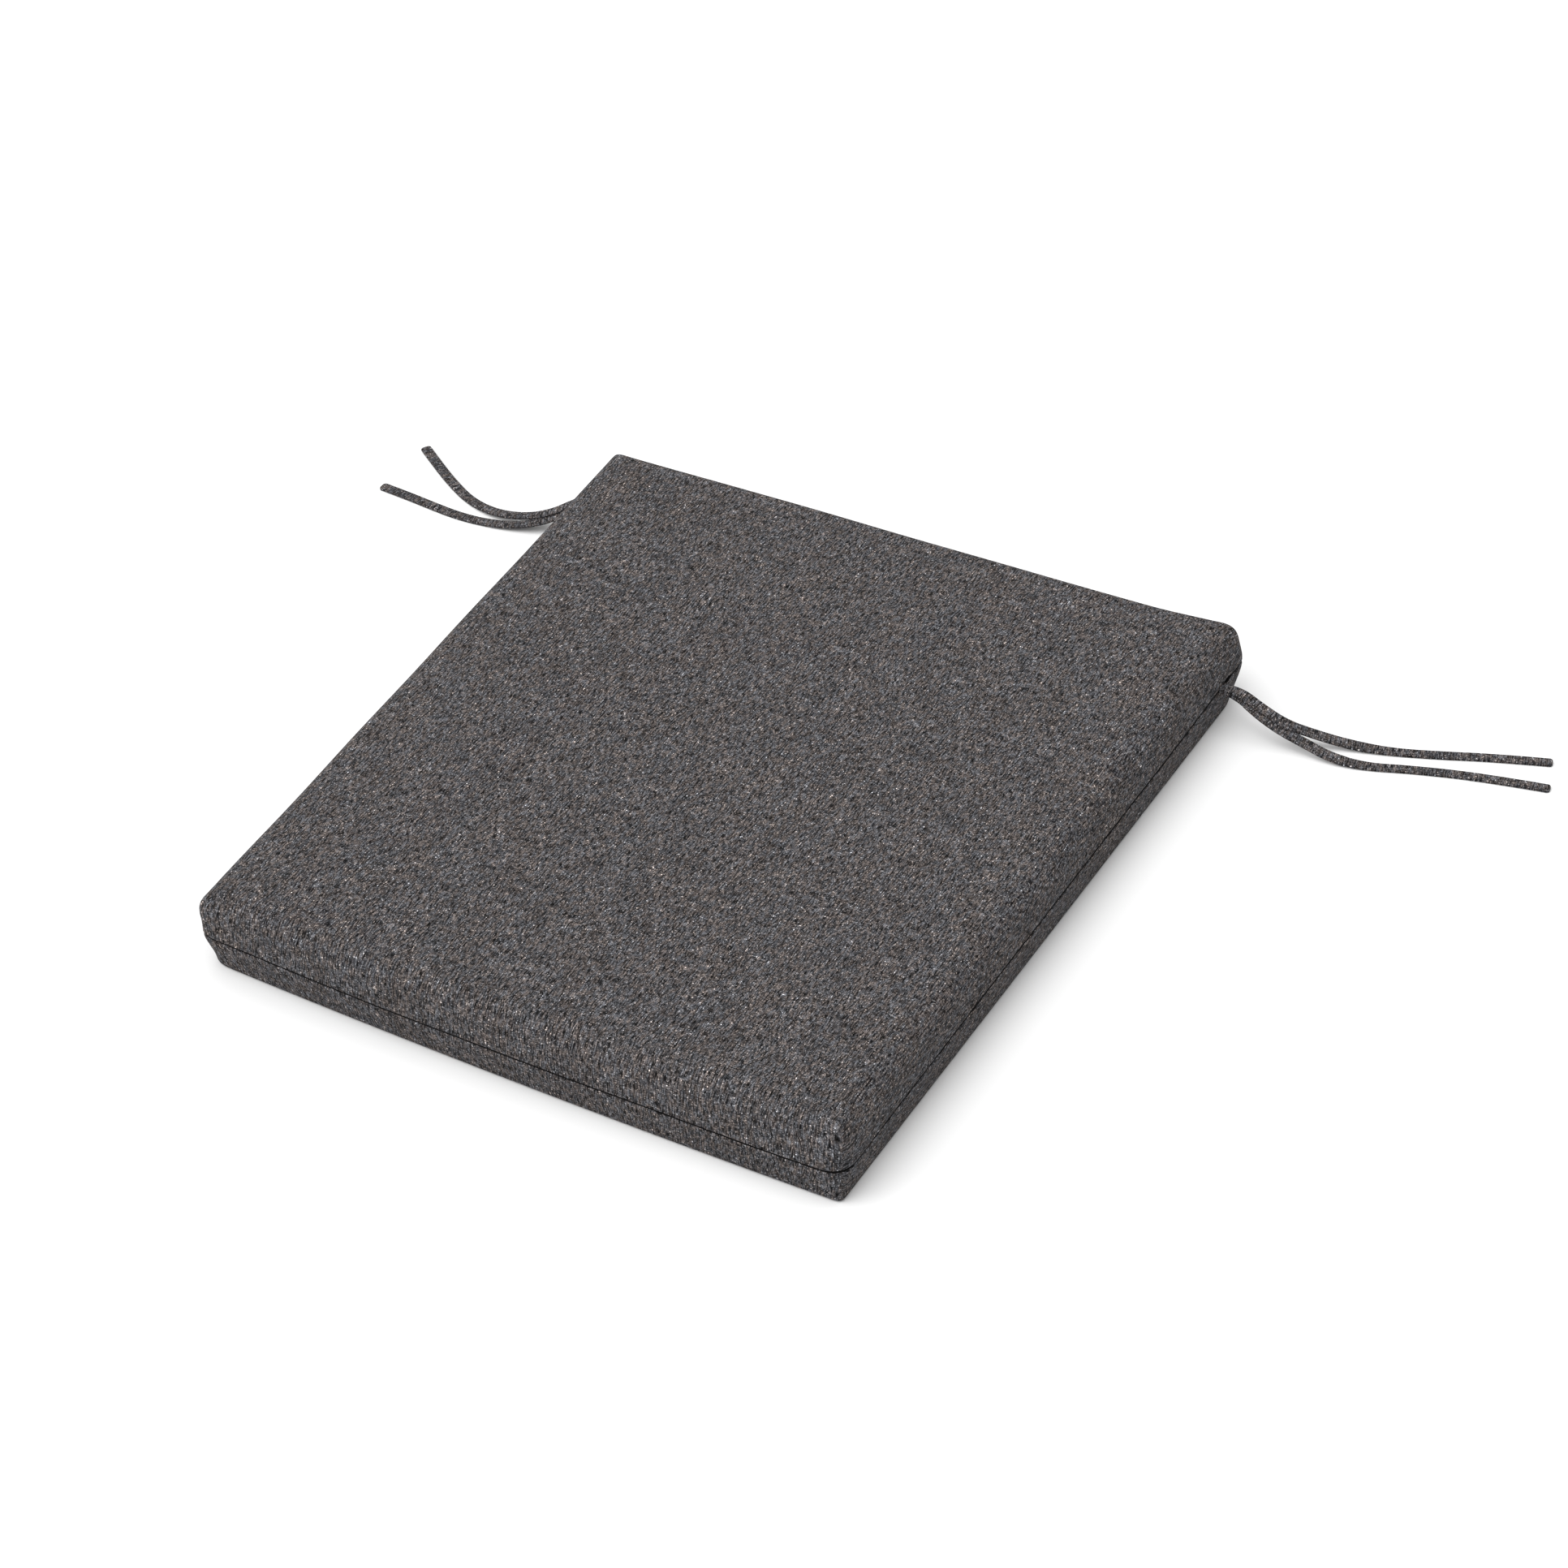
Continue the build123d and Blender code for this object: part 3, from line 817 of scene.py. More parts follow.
@dataclass
class Panel:
    """A panel's outside: a face and the half of the side that joins it, down or up to its sewn edge."""

    form: PadForm
    upper: bool
    edge: Callable[[np.ndarray, np.ndarray], np.ndarray]
    insets: tuple[float, ...] = tuple(
        d * MM for d in (0, 1.6, 3.4, 5.4, 7.8, 10.6, 13.8, 17.4, 20.5, 23.6, 28, 32.4, 36, 41, 48, 55)
    )
    step: float = 6.5 * MM
    arc_drops: tuple[float, ...] = (0.14, 0.32, 0.54, 0.77, 1.0)
    wall_parts: tuple[float, ...] = (0.25, 0.5, 0.7, 0.84, 0.94, 1.0)

    def __post_init__(self) -> None:
        """Lay out the grid, the rings and the cloth's own map."""
        form = self.form
        self.xs = graded_lines(form.half_x, self.insets, self.step)
        self.ys = graded_lines(form.half_y, self.insets, self.step)
        nx, ny = len(self.xs) - 1, len(self.ys) - 1
        rim = [(i, 0, Side.FRONT) for i in range(nx)]
        rim += [(nx, j, Side.RIGHT) for j in range(ny)]
        rim += [(i, ny, Side.BACK) for i in range(nx, 0, -1)]
        rim += [(0, j, Side.LEFT) for j in range(ny, 0, -1)]
        self.rim = rim
        self.count = len(rim)
        self.nx, self.ny = nx, ny
        face_z = form.ceiling if self.upper else form.floor
        grid_x, grid_y = np.meshgrid(self.xs, self.ys, indexing="ij")
        grid = np.stack([grid_x.ravel(), grid_y.ravel(), np.full(grid_x.size, face_z)], 1)
        rim_x = np.array([self.xs[i] for i, _, _ in rim])
        rim_y = np.array([self.ys[j] for _, j, _ in rim])
        edge_z = self.edge(rim_x, rim_y)
        rounding = form.top_round if self.upper else form.bottom_round
        sign = -1.0 if self.upper else 1.0
        levels = [np.full(self.count, face_z + sign * rounding * part) for part in self.arc_drops]
        start = levels[-1]
        levels += [start + (edge_z - start) * part for part in self.wall_parts]
        rings = [np.stack([rim_x, rim_y, level], 1) for level in levels]
        placed, facing = form.place(np.concatenate([grid, *rings]))
        self.points = placed
        self.rings = len(levels)
        self.edge_out = facing[-self.count:]
        self.measure()

    def number(self, ring: int, step: int) -> int:
        """Return the vertex number on a ring; ring 0 is the face's own rim."""
        step %= self.count
        if ring == 0:
            i, j, _ = self.rim[step]
            return i * (self.ny + 1) + j
        return (self.nx + 1) * (self.ny + 1) + (ring - 1) * self.count + step

    def measure(self) -> None:
        """Measure the cloth along its threads, so that the weave follows it over the edges."""
        grid = self.points[: (self.nx + 1) * (self.ny + 1)].reshape(self.nx + 1, self.ny + 1, 3)
        steps_x = np.linalg.norm(np.diff(grid, axis=0), axis=2)
        steps_y = np.linalg.norm(np.diff(grid, axis=1), axis=2)
        along_x = np.concatenate([np.zeros((1, self.ny + 1)), steps_x])
        along_y = np.concatenate([np.zeros((self.nx + 1, 1)), steps_y], 1)
        u, v = np.cumsum(along_x, 0), np.cumsum(along_y, 1)
        self.u = u - u[self.nx // 2]
        self.v = v - v[:, self.ny // 2][:, None]

    def add_ring(self, inward: np.ndarray, rise: np.ndarray) -> None:
        """Add a ring inside the edge ring.

        Args:
            inward: How far in from the edge, for each point.
            rise: How far above it.
        """
        first = self.number(self.edge_ring, 0)
        ring = self.points[first: first + self.count] - self.edge_out * inward[:, None]
        ring = ring + np.stack([np.zeros(self.count), np.zeros(self.count), rise], 1)
        self.points = np.concatenate([self.points, ring])
        self.rings += 1

    @property
    def edge_ring(self) -> int:
        """The number of the ring at the panel's sewn edge."""
        return len(self.arc_drops) + len(self.wall_parts)

    def faces(self) -> tuple[list[list[int]], list[tuple[float, float]]]:
        """Return the faces, pointing outwards, and the cloth place of each of their corners."""
        faces, maps = [], []

        def add(corners: list[tuple[int, tuple[float, float]]]) -> None:
            ordered = corners if self.upper else corners[::-1]
            faces.append([number for number, _ in ordered])
            maps.extend(place for _, place in ordered)

        for i in range(self.nx):
            for j in range(self.ny):
                cell = ((i, j), (i + 1, j), (i + 1, j + 1), (i, j + 1))
                add([(a * (self.ny + 1) + b, (self.u[a, b], self.v[a, b])) for a, b in cell])
        lengths = [np.zeros(self.count)]
        for ring in range(1, self.rings + 1):
            here = np.array([self.points[self.number(ring, s)] for s in range(self.count)])
            before = np.array([self.points[self.number(ring - 1, s)] for s in range(self.count)])
            lengths.append(lengths[-1] + np.linalg.norm(here - before, axis=1))

        def place(ring: int, step: int, side: Side) -> tuple[float, float]:
            i, j, _ = self.rim[step % self.count]
            reach = lengths[ring][step % self.count]
            return (self.u[i, j] + side.value[0] * reach, self.v[i, j] + side.value[1] * reach)

        for ring in range(self.rings):
            for step in range(self.count):
                side = self.rim[step][2]
                cell = ((ring + 1, step), (ring + 1, step + 1), (ring, step + 1), (ring, step))
                add([(self.number(r, s), place(r, s, side)) for r, s in cell])
        return faces, maps


# ---------------------------------------------------------------------------------------------------------
# The cover
# ---------------------------------------------------------------------------------------------------------
@dataclass(frozen=True)
class Swelling:
    """How the cloth solver swells the cover: the cloth, its pressure, and where it is held."""

    quality: int = 6
    mass: float = 0.3
    stretch: float = 30.0
    shear: float = 12.0
    bending: float = 2.0
    pressure: float = 4.0
    frames: int = 20
    held_below: float = 1 * MM
    free_above: float = 7 * MM
    held_by_seam: float = 3.5 * MM
    free_of_seam: float = 10 * MM
    face_depth: float = 4 * MM
    fully_held: float = 0.99


@dataclass
class Cover:
    """The sewn cover: two panels, rolled in at their seam and open at the zip and the ties."""

    form: PadForm
    roll: float = 1.1 * MM
    seam_gap: float = 1.0 * MM
    # The ring of the rolled edge from which the panel wears the near-black painted seam shade
    painted_shade_from: int = 2
    allowance: float = 6 * MM
    hem_depth: float = 2.2 * MM
    hem_turn: float = 7.5 * MM
    hem_drop: float = 0.6
    allowance_end: float = 1.5 * MM
    cloth: float = 0.9 * MM
    swelling: Swelling = Swelling()
    swell_cap: float = 2.6 * MM
    face_swell: float = 0.6
    give: float = 0.25 * MM
    slot_rise: float = 5 * MM
    slot_room: float = 0.2 * MM
    slot_ramp: float = 7 * MM
    tape_end: float = 3 * MM
    tie_ramp: float = 2.2 * MM
    tie_room: float = 0.15 * MM
    tie_slack: float = 0.3 * MM
    rim: float = 1 * MM
    side_gap: float = 0.5 * MM
    side_ramp: float = 60 * MM

    def __post_init__(self) -> None:
        """Take the openings' places from the hems and the ties."""
        self.slot_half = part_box("zip_tape_upper")[1].x - self.tape_end
        self.tie_low, self.tie_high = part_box("tie_anchor_right")
        self.upper = Panel(self.form, True, lambda x, y: self.edge(x, y, 1))
        self.lower = Panel(self.form, False, lambda x, y: self.edge(x, y, -1))

    def slot_share(self, x: np.ndarray, y: np.ndarray) -> np.ndarray:
        """Return 1 along the zip's opening and 0 elsewhere on the edge."""
        at_back = np.asarray(y) > self.form.half_y - self.rim
        inside = 1 - smooth_step(np.abs(x), self.slot_half, self.slot_half + self.slot_ramp)
        return np.where(at_back, inside, 0.0)

    def at_side(self, x: np.ndarray) -> np.ndarray:
        """Return True on the left and right edges."""
        return np.abs(x) > self.form.half_x - self.rim

    def tie_share(self, x: np.ndarray, y: np.ndarray) -> np.ndarray:
        """Return 1 where a tie leaves the seam and 0 elsewhere on the edge."""
        middle = (self.tie_low.y + self.tie_high.y) / 2
        half = (self.tie_high.y - self.tie_low.y) / 2
        away = np.abs(np.asarray(y) - middle)
        near = 1 - smooth_step(away, half + self.tie_slack, half + self.tie_ramp)
        return np.where(self.at_side(x), near, 0.0)

    def edge(self, x: np.ndarray, y: np.ndarray, sign: int) -> np.ndarray:
        """Return the height of a panel's rolled edge, above the seam for 1 and below it for -1."""
        middle = smooth_step(self.form.half_y - np.abs(y), 0.0, self.side_ramp)
        wider = np.where(self.at_side(x), middle, 0.0) * self.side_gap / 2
        closed = self.seam_gap / 2 + self.roll + wider
        slot = self.slot_share(x, y) * (self.slot_rise - closed + self.slot_room)
        tie_half = (self.tie_high.z - self.tie_low.z) / 2
        tie = self.tie_share(x, y) * (tie_half + self.tie_room - self.seam_gap / 2)
        return self.form.seam_level(y) + sign * (closed + np.maximum(slot, tie))

    def build(self) -> list[bpy.types.Object]:
        """Build both panels.

        Returns:
            The upper and the lower cover.
        """
        self.inflate()
        made = []
        for panel, name, sign in ((self.upper, "upper_cover", 1), (self.lower, "lower_cover", -1)):
            self.turn_in(panel, sign)
            faces, maps = panel.faces()
            obj = make_object(name, panel.points, faces, maps)
            divide = obj.modifiers.new("Round", "SUBSURF")
            divide.levels = divide.render_levels = 1
            thicken = obj.modifiers.new("Cloth thickness", "SOLIDIFY")
            thicken.thickness = self.cloth
            thicken.offset = -1
            made.append(obj)
        return made

    def turn_in(self, panel: Panel, sign: int) -> None:
        """Roll a panel's edge in, as the seam's allowance or as the zip's hem.

        Args:
            panel: The panel.
            sign: 1 for the upper panel, whose edge rolls downwards first.
        """
        xs = np.array([panel.xs[i] for i, _, _ in panel.rim])
        ys = np.array([panel.ys[j] for _, j, _ in panel.rim])
        slot = self.slot_share(xs, ys)
        roll = self.roll * np.ones(panel.count)
        reach = self.allowance + (self.hem_depth - self.allowance) * slot
        for angle in (pi / 6, pi / 3, pi / 2):
            panel.add_ring(roll * (1 - cos(angle)), -sign * roll * sin(angle))
        panel.add_ring(roll + (reach - roll) * 0.5, -sign * roll)
        panel.add_ring(reach, -sign * roll * (1 - slot) - sign * roll * self.hem_drop * slot)
        end = reach + self.allowance_end * (1 - slot)
        panel.add_ring(end, sign * (slot * self.hem_turn - roll * (1 - slot)))

    def inflate(self) -> None:
        """Swell the closed cover with the cloth solver.

        The filling holds each point from sinking in, and a cap keeps it from standing too proud.
        """
        faces_up, _ = self.upper.faces()
        faces_down, _ = self.lower.faces()
        start = len(self.upper.points)
        rest = np.concatenate([self.upper.points, self.lower.points])
        ring_up, ring_down = self.upper.edge_ring, self.lower.edge_ring
        strip = [
            [
                start + self.lower.number(ring_down, s),
                start + self.lower.number(ring_down, s + 1),
                self.upper.number(ring_up, s + 1),
                self.upper.number(ring_up, s),
            ]
            for s in range(self.upper.count)
        ]
        faces = faces_up + [[start + n for n in face] for face in faces_down] + strip
        obj = make_object("inflating_cover", rest, faces)
        z = rest[:, 2]
        swelling = self.swelling
        by_floor = 1 - smooth_step(z, swelling.held_below, swelling.free_above)
        off_seam = np.abs(z - self.form.seam)
        by_seam = 1 - smooth_step(off_seam, swelling.held_by_seam, swelling.free_of_seam)
        hold = np.maximum(np.maximum(by_floor, self.form.zip_hold(rest)), by_seam)
        pins = obj.vertex_groups.new(name="held")
        for number, weight in enumerate(hold):
            pins.add([number], float(weight), "REPLACE")
        cloth = obj.modifiers.new("Cloth", "CLOTH")
        settings = cloth.settings
        settings.quality = swelling.quality
        settings.mass = swelling.mass
        settings.tension_stiffness = settings.compression_stiffness = swelling.stretch
        settings.shear_stiffness = swelling.shear
        settings.bending_stiffness = swelling.bending
        settings.use_pressure = True
        settings.uniform_pressure_force = swelling.pressure
        settings.effector_weights.gravity = 0
        settings.vertex_group_mass = pins.name
        cloth.collision_settings.use_collision = False
        cloth.point_cache.frame_start = 1
        cloth.point_cache.frame_end = swelling.frames
        scene = bpy.context.scene
        for frame_number in range(1, swelling.frames + 1):
            scene.frame_set(frame_number)
        swollen = obj.evaluated_get(bpy.context.evaluated_depsgraph_get())
        mesh = bpy.data.meshes.new_from_object(swollen)
        flat = np.zeros(3 * len(mesh.vertices))
        mesh.vertices.foreach_get("co", flat)
        move = flat.reshape(-1, 3) - rest
        normals = np.zeros(3 * len(obj.data.vertices))
        obj.data.vertices.foreach_get("normal", normals)
        outward = normals.reshape(-1, 3)
        sunk = np.minimum(np.sum(move * outward, axis=1) + self.give, 0.0)
        move -= outward * sunk[:, None]
        face = smooth_step(z, self.form.ceiling - swelling.face_depth, self.form.ceiling)
        far = np.linalg.norm(move, axis=1)
        LOG.info("the cover swells by up to %.1f mm before its cap", far.max() / MM)
        cap = self.swell_cap * (1 - (1 - self.face_swell) * face)
        move *= (cap / (cap + far))[:, None]
        move[:, 2] = np.where(hold > swelling.fully_held, 0, move[:, 2])
        settled = rest + move
        self.upper.points = settled[:start]
        self.lower.points = settled[start:]
        scene.frame_set(1)
        bpy.data.objects.remove(obj)
        bpy.data.meshes.remove(mesh)

    def dress(self, objects: Sequence[bpy.types.Object], finishes: Finishes) -> None:
        panels = (self.upper, self.lower)
        for obj, panel, node in zip(objects, panels, ("upper_panel", "lower_panel")):
            dress(obj, finishes["charcoal_tweed"], Slot.COVER, Body.COVER, node)
            obj.data.materials.append(finishes["painted_seam_shade_cloth"])
            # From that ring inwards, the rolled edge and the allowance wear the near-black painted seam
            # shade
            outside = panel.nx * panel.ny + (panel.edge_ring + self.painted_shade_from) * panel.count
            for polygon in obj.data.polygons[outside:]:
                polygon.material_index = 1


# ---------------------------------------------------------------------------------------------------------
# The filling
# ---------------------------------------------------------------------------------------------------------
@dataclass
class Filling:
    """The foam block and the two sheets of wadding round it."""

    wadding_inset: float = 1.7 * MM
    wadding_thickness: float = 7.4 * MM
    side_share: float = 0.62
    parting: float = 3.4 * MM
    zip_relief: float = 2.6 * MM
    wadding_round: float = 13.5 * MM
    bottom_loft: float = 0.74
    foam_round: float = 9 * MM
    foam_base_round: float = 3 * MM
    foam_wander: float = 0.3 * MM
    step: float = 14 * MM
    insets: tuple[float, ...] = tuple(d * MM for d in (0, 3, 6.5, 11, 17, 26, 40))

    def build(self) -> dict[str, bpy.types.Object]:
        """Build the wadding and the foam.

        Returns:
            The three pieces, by the CAD node that each stands for.
        """
        made = {}
        form = PadForm(inset=self.wadding_inset, relief=self.zip_relief, top_round=self.wadding_round)
        for name, upper, sign in (("top_wadding", True, 1), ("bottom_wadding", False, -1)):
            level = form.seam + sign * self.parting

            def edge(x: np.ndarray, _: np.ndarray) -> np.ndarray:
                return np.full(len(x), level)

            panel = Panel(form, upper, edge, insets=self.insets, step=self.step)
            faces, maps = panel.faces()
            obj = make_object(name.replace("wadding", "wadding_sheet"), panel.points, faces, maps)
            weight = obj.vertex_groups.new(name="loft")
            face_count = (panel.nx + 1) * (panel.ny + 1)
            weight.add(list(range(face_count)), 1.0 if upper else self.bottom_loft, "REPLACE")
            weight.add(list(range(face_count, len(panel.points))), self.side_share, "REPLACE")
            thicken = obj.modifiers.new("Loft", "SOLIDIFY")
            thicken.thickness = self.wadding_thickness
            thicken.offset = -1
            thicken.vertex_group = weight.name
            soften = obj.modifiers.new("Soften", "SUBSURF")
            soften.levels = soften.render_levels = 1
            made[name] = obj
        low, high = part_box("foam_core")
        inset = form.half_x + self.wadding_inset - high.x
        block = PadForm(
            inset=inset,
            top_round=self.foam_round,
            bottom_round=self.foam_base_round,
            wander=self.foam_wander,
        )
        block.floor, block.ceiling = low.z, high.z
        block.half_y = high.y
        points, faces, maps = self.closed(block)
        made["foam_core"] = make_object("foam_block", points, faces, maps)
        return made

    def closed(self, form: PadForm) -> tuple[np.ndarray, list[list[int]], list[Any]]:
        """Return the points, faces and map of a closed block of one form."""

        def edge(x: np.ndarray, _: np.ndarray) -> np.ndarray:
            return np.full(len(x), form.seam)

        top, bottom = (
            Panel(form, upper, edge, insets=self.insets, step=self.step) for upper in (True, False)
        )
        start = len(top.points)
        shared = {
            start + bottom.number(bottom.edge_ring, s): top.number(top.edge_ring, s)
            for s in range(top.count)
        }
        faces, maps = top.faces()
        more_faces, more_maps = bottom.faces()
        faces += [[shared.get(start + n, start + n) for n in face] for face in more_faces]
        used = sorted({n for face in faces for n in face})
        fresh = {old: new for new, old in enumerate(used)}
        points = np.concatenate([top.points, bottom.points])[used]
        return points, [[fresh[n] for n in face] for face in faces], maps + more_maps

    def dress(self, pieces: dict[str, bpy.types.Object], finishes: Finishes) -> None:
        for node, obj in pieces.items():
            foam = node == "foam_core"
            material = finishes["cream_foam" if foam else "white_wadding"]
            dress(obj, material, Slot.FOAM if foam else Slot.WADDING, Body.COVER, node)


# ---------------------------------------------------------------------------------------------------------
# Rows of stitches and coils, made by Geometry Nodes
# ---------------------------------------------------------------------------------------------------------
@dataclass
class RowMaker:
    """Geometry Nodes trees that set stitches along a path and wind a zip's coil."""

    stitches: bpy.types.NodeTree = field(init=False)
    coil: bpy.types.NodeTree = field(init=False)

    def __post_init__(self) -> None:
        """Build both trees."""
        self.stitches = self.build_stitches()
        self.coil = self.build_coil()

    def build_stitches(self) -> bpy.types.NodeTree:
        """Return the tree that lays one short thread at each step along a path."""
        group = bpy.data.node_groups.new("stitch_row", "GeometryNodeTree")
        t = Tree(group)
        t.socket("Geometry", "Geometry")
        t.socket("Pitch", "Float", value=0.003)
        t.socket("Stitch Length", "Float", value=0.0022)
        t.socket("Thread Radius", "Float", value=0.0002)
        t.socket("Turn", "Float", value=0.0)
        t.socket("Thread", "Material")
        t.socket("Geometry", "Geometry", incoming=False)
        given = t.add("NodeGroupInput").outputs
        curve = t.add("GeometryNodeMeshToCurve", {"Mesh": given["Geometry"]}).outputs[0]
        spaced = t.add(
            "GeometryNodeResampleCurve", {"Curve": curve, "Length": given["Pitch"]}, mode="LENGTH"
        )
        ball = t.add("GeometryNodeMeshUVSphere", {"Segments": 6, "Rings": 5, "Radius": 1.0}).outputs["Mesh"]
        half = t.math("MULTIPLY", given["Stitch Length"], 0.5)
        size = t.join(half, given["Thread Radius"], given["Thread Radius"])
        turn = t.join(0.0, 0.0, given["Turn"])
        sized = t.add("GeometryNodeTransform", {"Geometry": ball, "Scale": size}).outputs[0]
        stitch = t.add("GeometryNodeTransform", {"Geometry": sized, "Rotation": turn}).outputs[0]
        tangent = t.add("GeometryNodeInputTangent").outputs[0]
        aim = t.add("FunctionNodeAlignRotationToVector", {"Vector": tangent}, axis="X").outputs[0]
        laid = t.add("GeometryNodeInstanceOnPoints", {
            "Points": spaced.outputs[0], "Instance": stitch, "Rotation": aim,
        }).outputs[0]
        self.finish(t, laid, given["Thread"])
        return group

    def build_coil(self) -> bpy.types.NodeTree:
        """Return the tree that winds one row of a coil zip along X."""
        group = bpy.data.node_groups.new("zip_coil", "GeometryNodeTree")
        t = Tree(group)
        t.socket("Geometry", "Geometry")
        t.socket("Turns", "Float", value=200.0)
        t.socket("Length", "Float", value=0.3)
        t.socket("Size", "Vector", value=(0.001, 0.001, 1.0))
        t.socket("Start", "Vector")
        t.socket("Wire Radius", "Float", value=0.00025)
        t.socket("Nylon", "Material")
        t.socket("Geometry", "Geometry", incoming=False)
        given = t.add("NodeGroupInput").outputs
        spiral = t.add("GeometryNodeCurveSpiral", {
            "Resolution": 8, "Rotations": given["Turns"], "Start Radius": 1.0, "End Radius": 1.0,
            "Height": given["Length"],
        }).outputs[0]
        shaped = t.add("GeometryNodeTransform", {"Geometry": spiral, "Scale": given["Size"]}).outputs[0]
        along = t.add("GeometryNodeTransform", {
            "Geometry": shaped, "Rotation": (0.0, pi / 2, 0.0), "Translation": given["Start"],
        }).outputs[0]
        wire = t.add("GeometryNodeCurvePrimitiveCircle", {
            "Resolution": 5, "Radius": given["Wire Radius"],
        }).outputs[0]
        solid = t.add("GeometryNodeCurveToMesh", {
            "Curve": along, "Profile Curve": wire, "Fill Caps": True,
        }).outputs[0]
        self.finish(t, solid, given["Nylon"])
        return group

    def finish(self, t: Tree, geometry: Any, material: Any) -> None:
        """End a tree in smooth, realized and dressed geometry."""
        real = t.add("GeometryNodeRealizeInstances", {"Geometry": geometry}).outputs[0]
        smooth = t.add("GeometryNodeSetShadeSmooth", {"Geometry": real}).outputs[0]
        dressed = t.add("GeometryNodeSetMaterial", {"Geometry": smooth, "Material": material}).outputs[0]
        t.add("NodeGroupOutput", {"Geometry": dressed})

    def make(self, name: str, tree: bpy.types.NodeTree, paths: Sequence[Sequence[Point]],
             values: dict[str, Any]) -> bpy.types.Object:
        """Run a tree on a set of paths and keep the result as a plain mesh.

        Args:
            name: The new piece's name.
            tree: The tree.
            paths: Open runs of points.
            values: The tree's inputs, by socket name.

        Returns:
            The piece.
        """
        points = [Vector(p) for path in paths for p in path]
        edges, start = [], 0
        for path in paths:
            edges += [(start + k, start + k + 1) for k in range(len(path) - 1)]
            start += len(path)
        base = bpy.data.meshes.new(f"{name}_path")
        base.from_pydata(points, edges, [])
        carrier = bpy.data.objects.new(f"{name}_path", base)
        bpy.context.scene.collection.objects.link(carrier)
        modifier = carrier.modifiers.new("Row", "NODES")
        modifier.node_group = tree
        sockets = {
            item.name: item.identifier for item in tree.interface.items_tree if item.in_out == "INPUT"
        }
        for socket, value in values.items():
            modifier[sockets[socket]] = value
        bpy.context.view_layer.update()
        evaluated = carrier.evaluated_get(bpy.context.evaluated_depsgraph_get())
        mesh = bpy.data.meshes.new_from_object(evaluated)
        mesh.name = name
        carrier.modifiers.remove(modifier)
        bpy.data.objects.remove(carrier)
        obj = bpy.data.objects.new(name, mesh)
        bpy.context.scene.collection.objects.link(obj)
        return obj


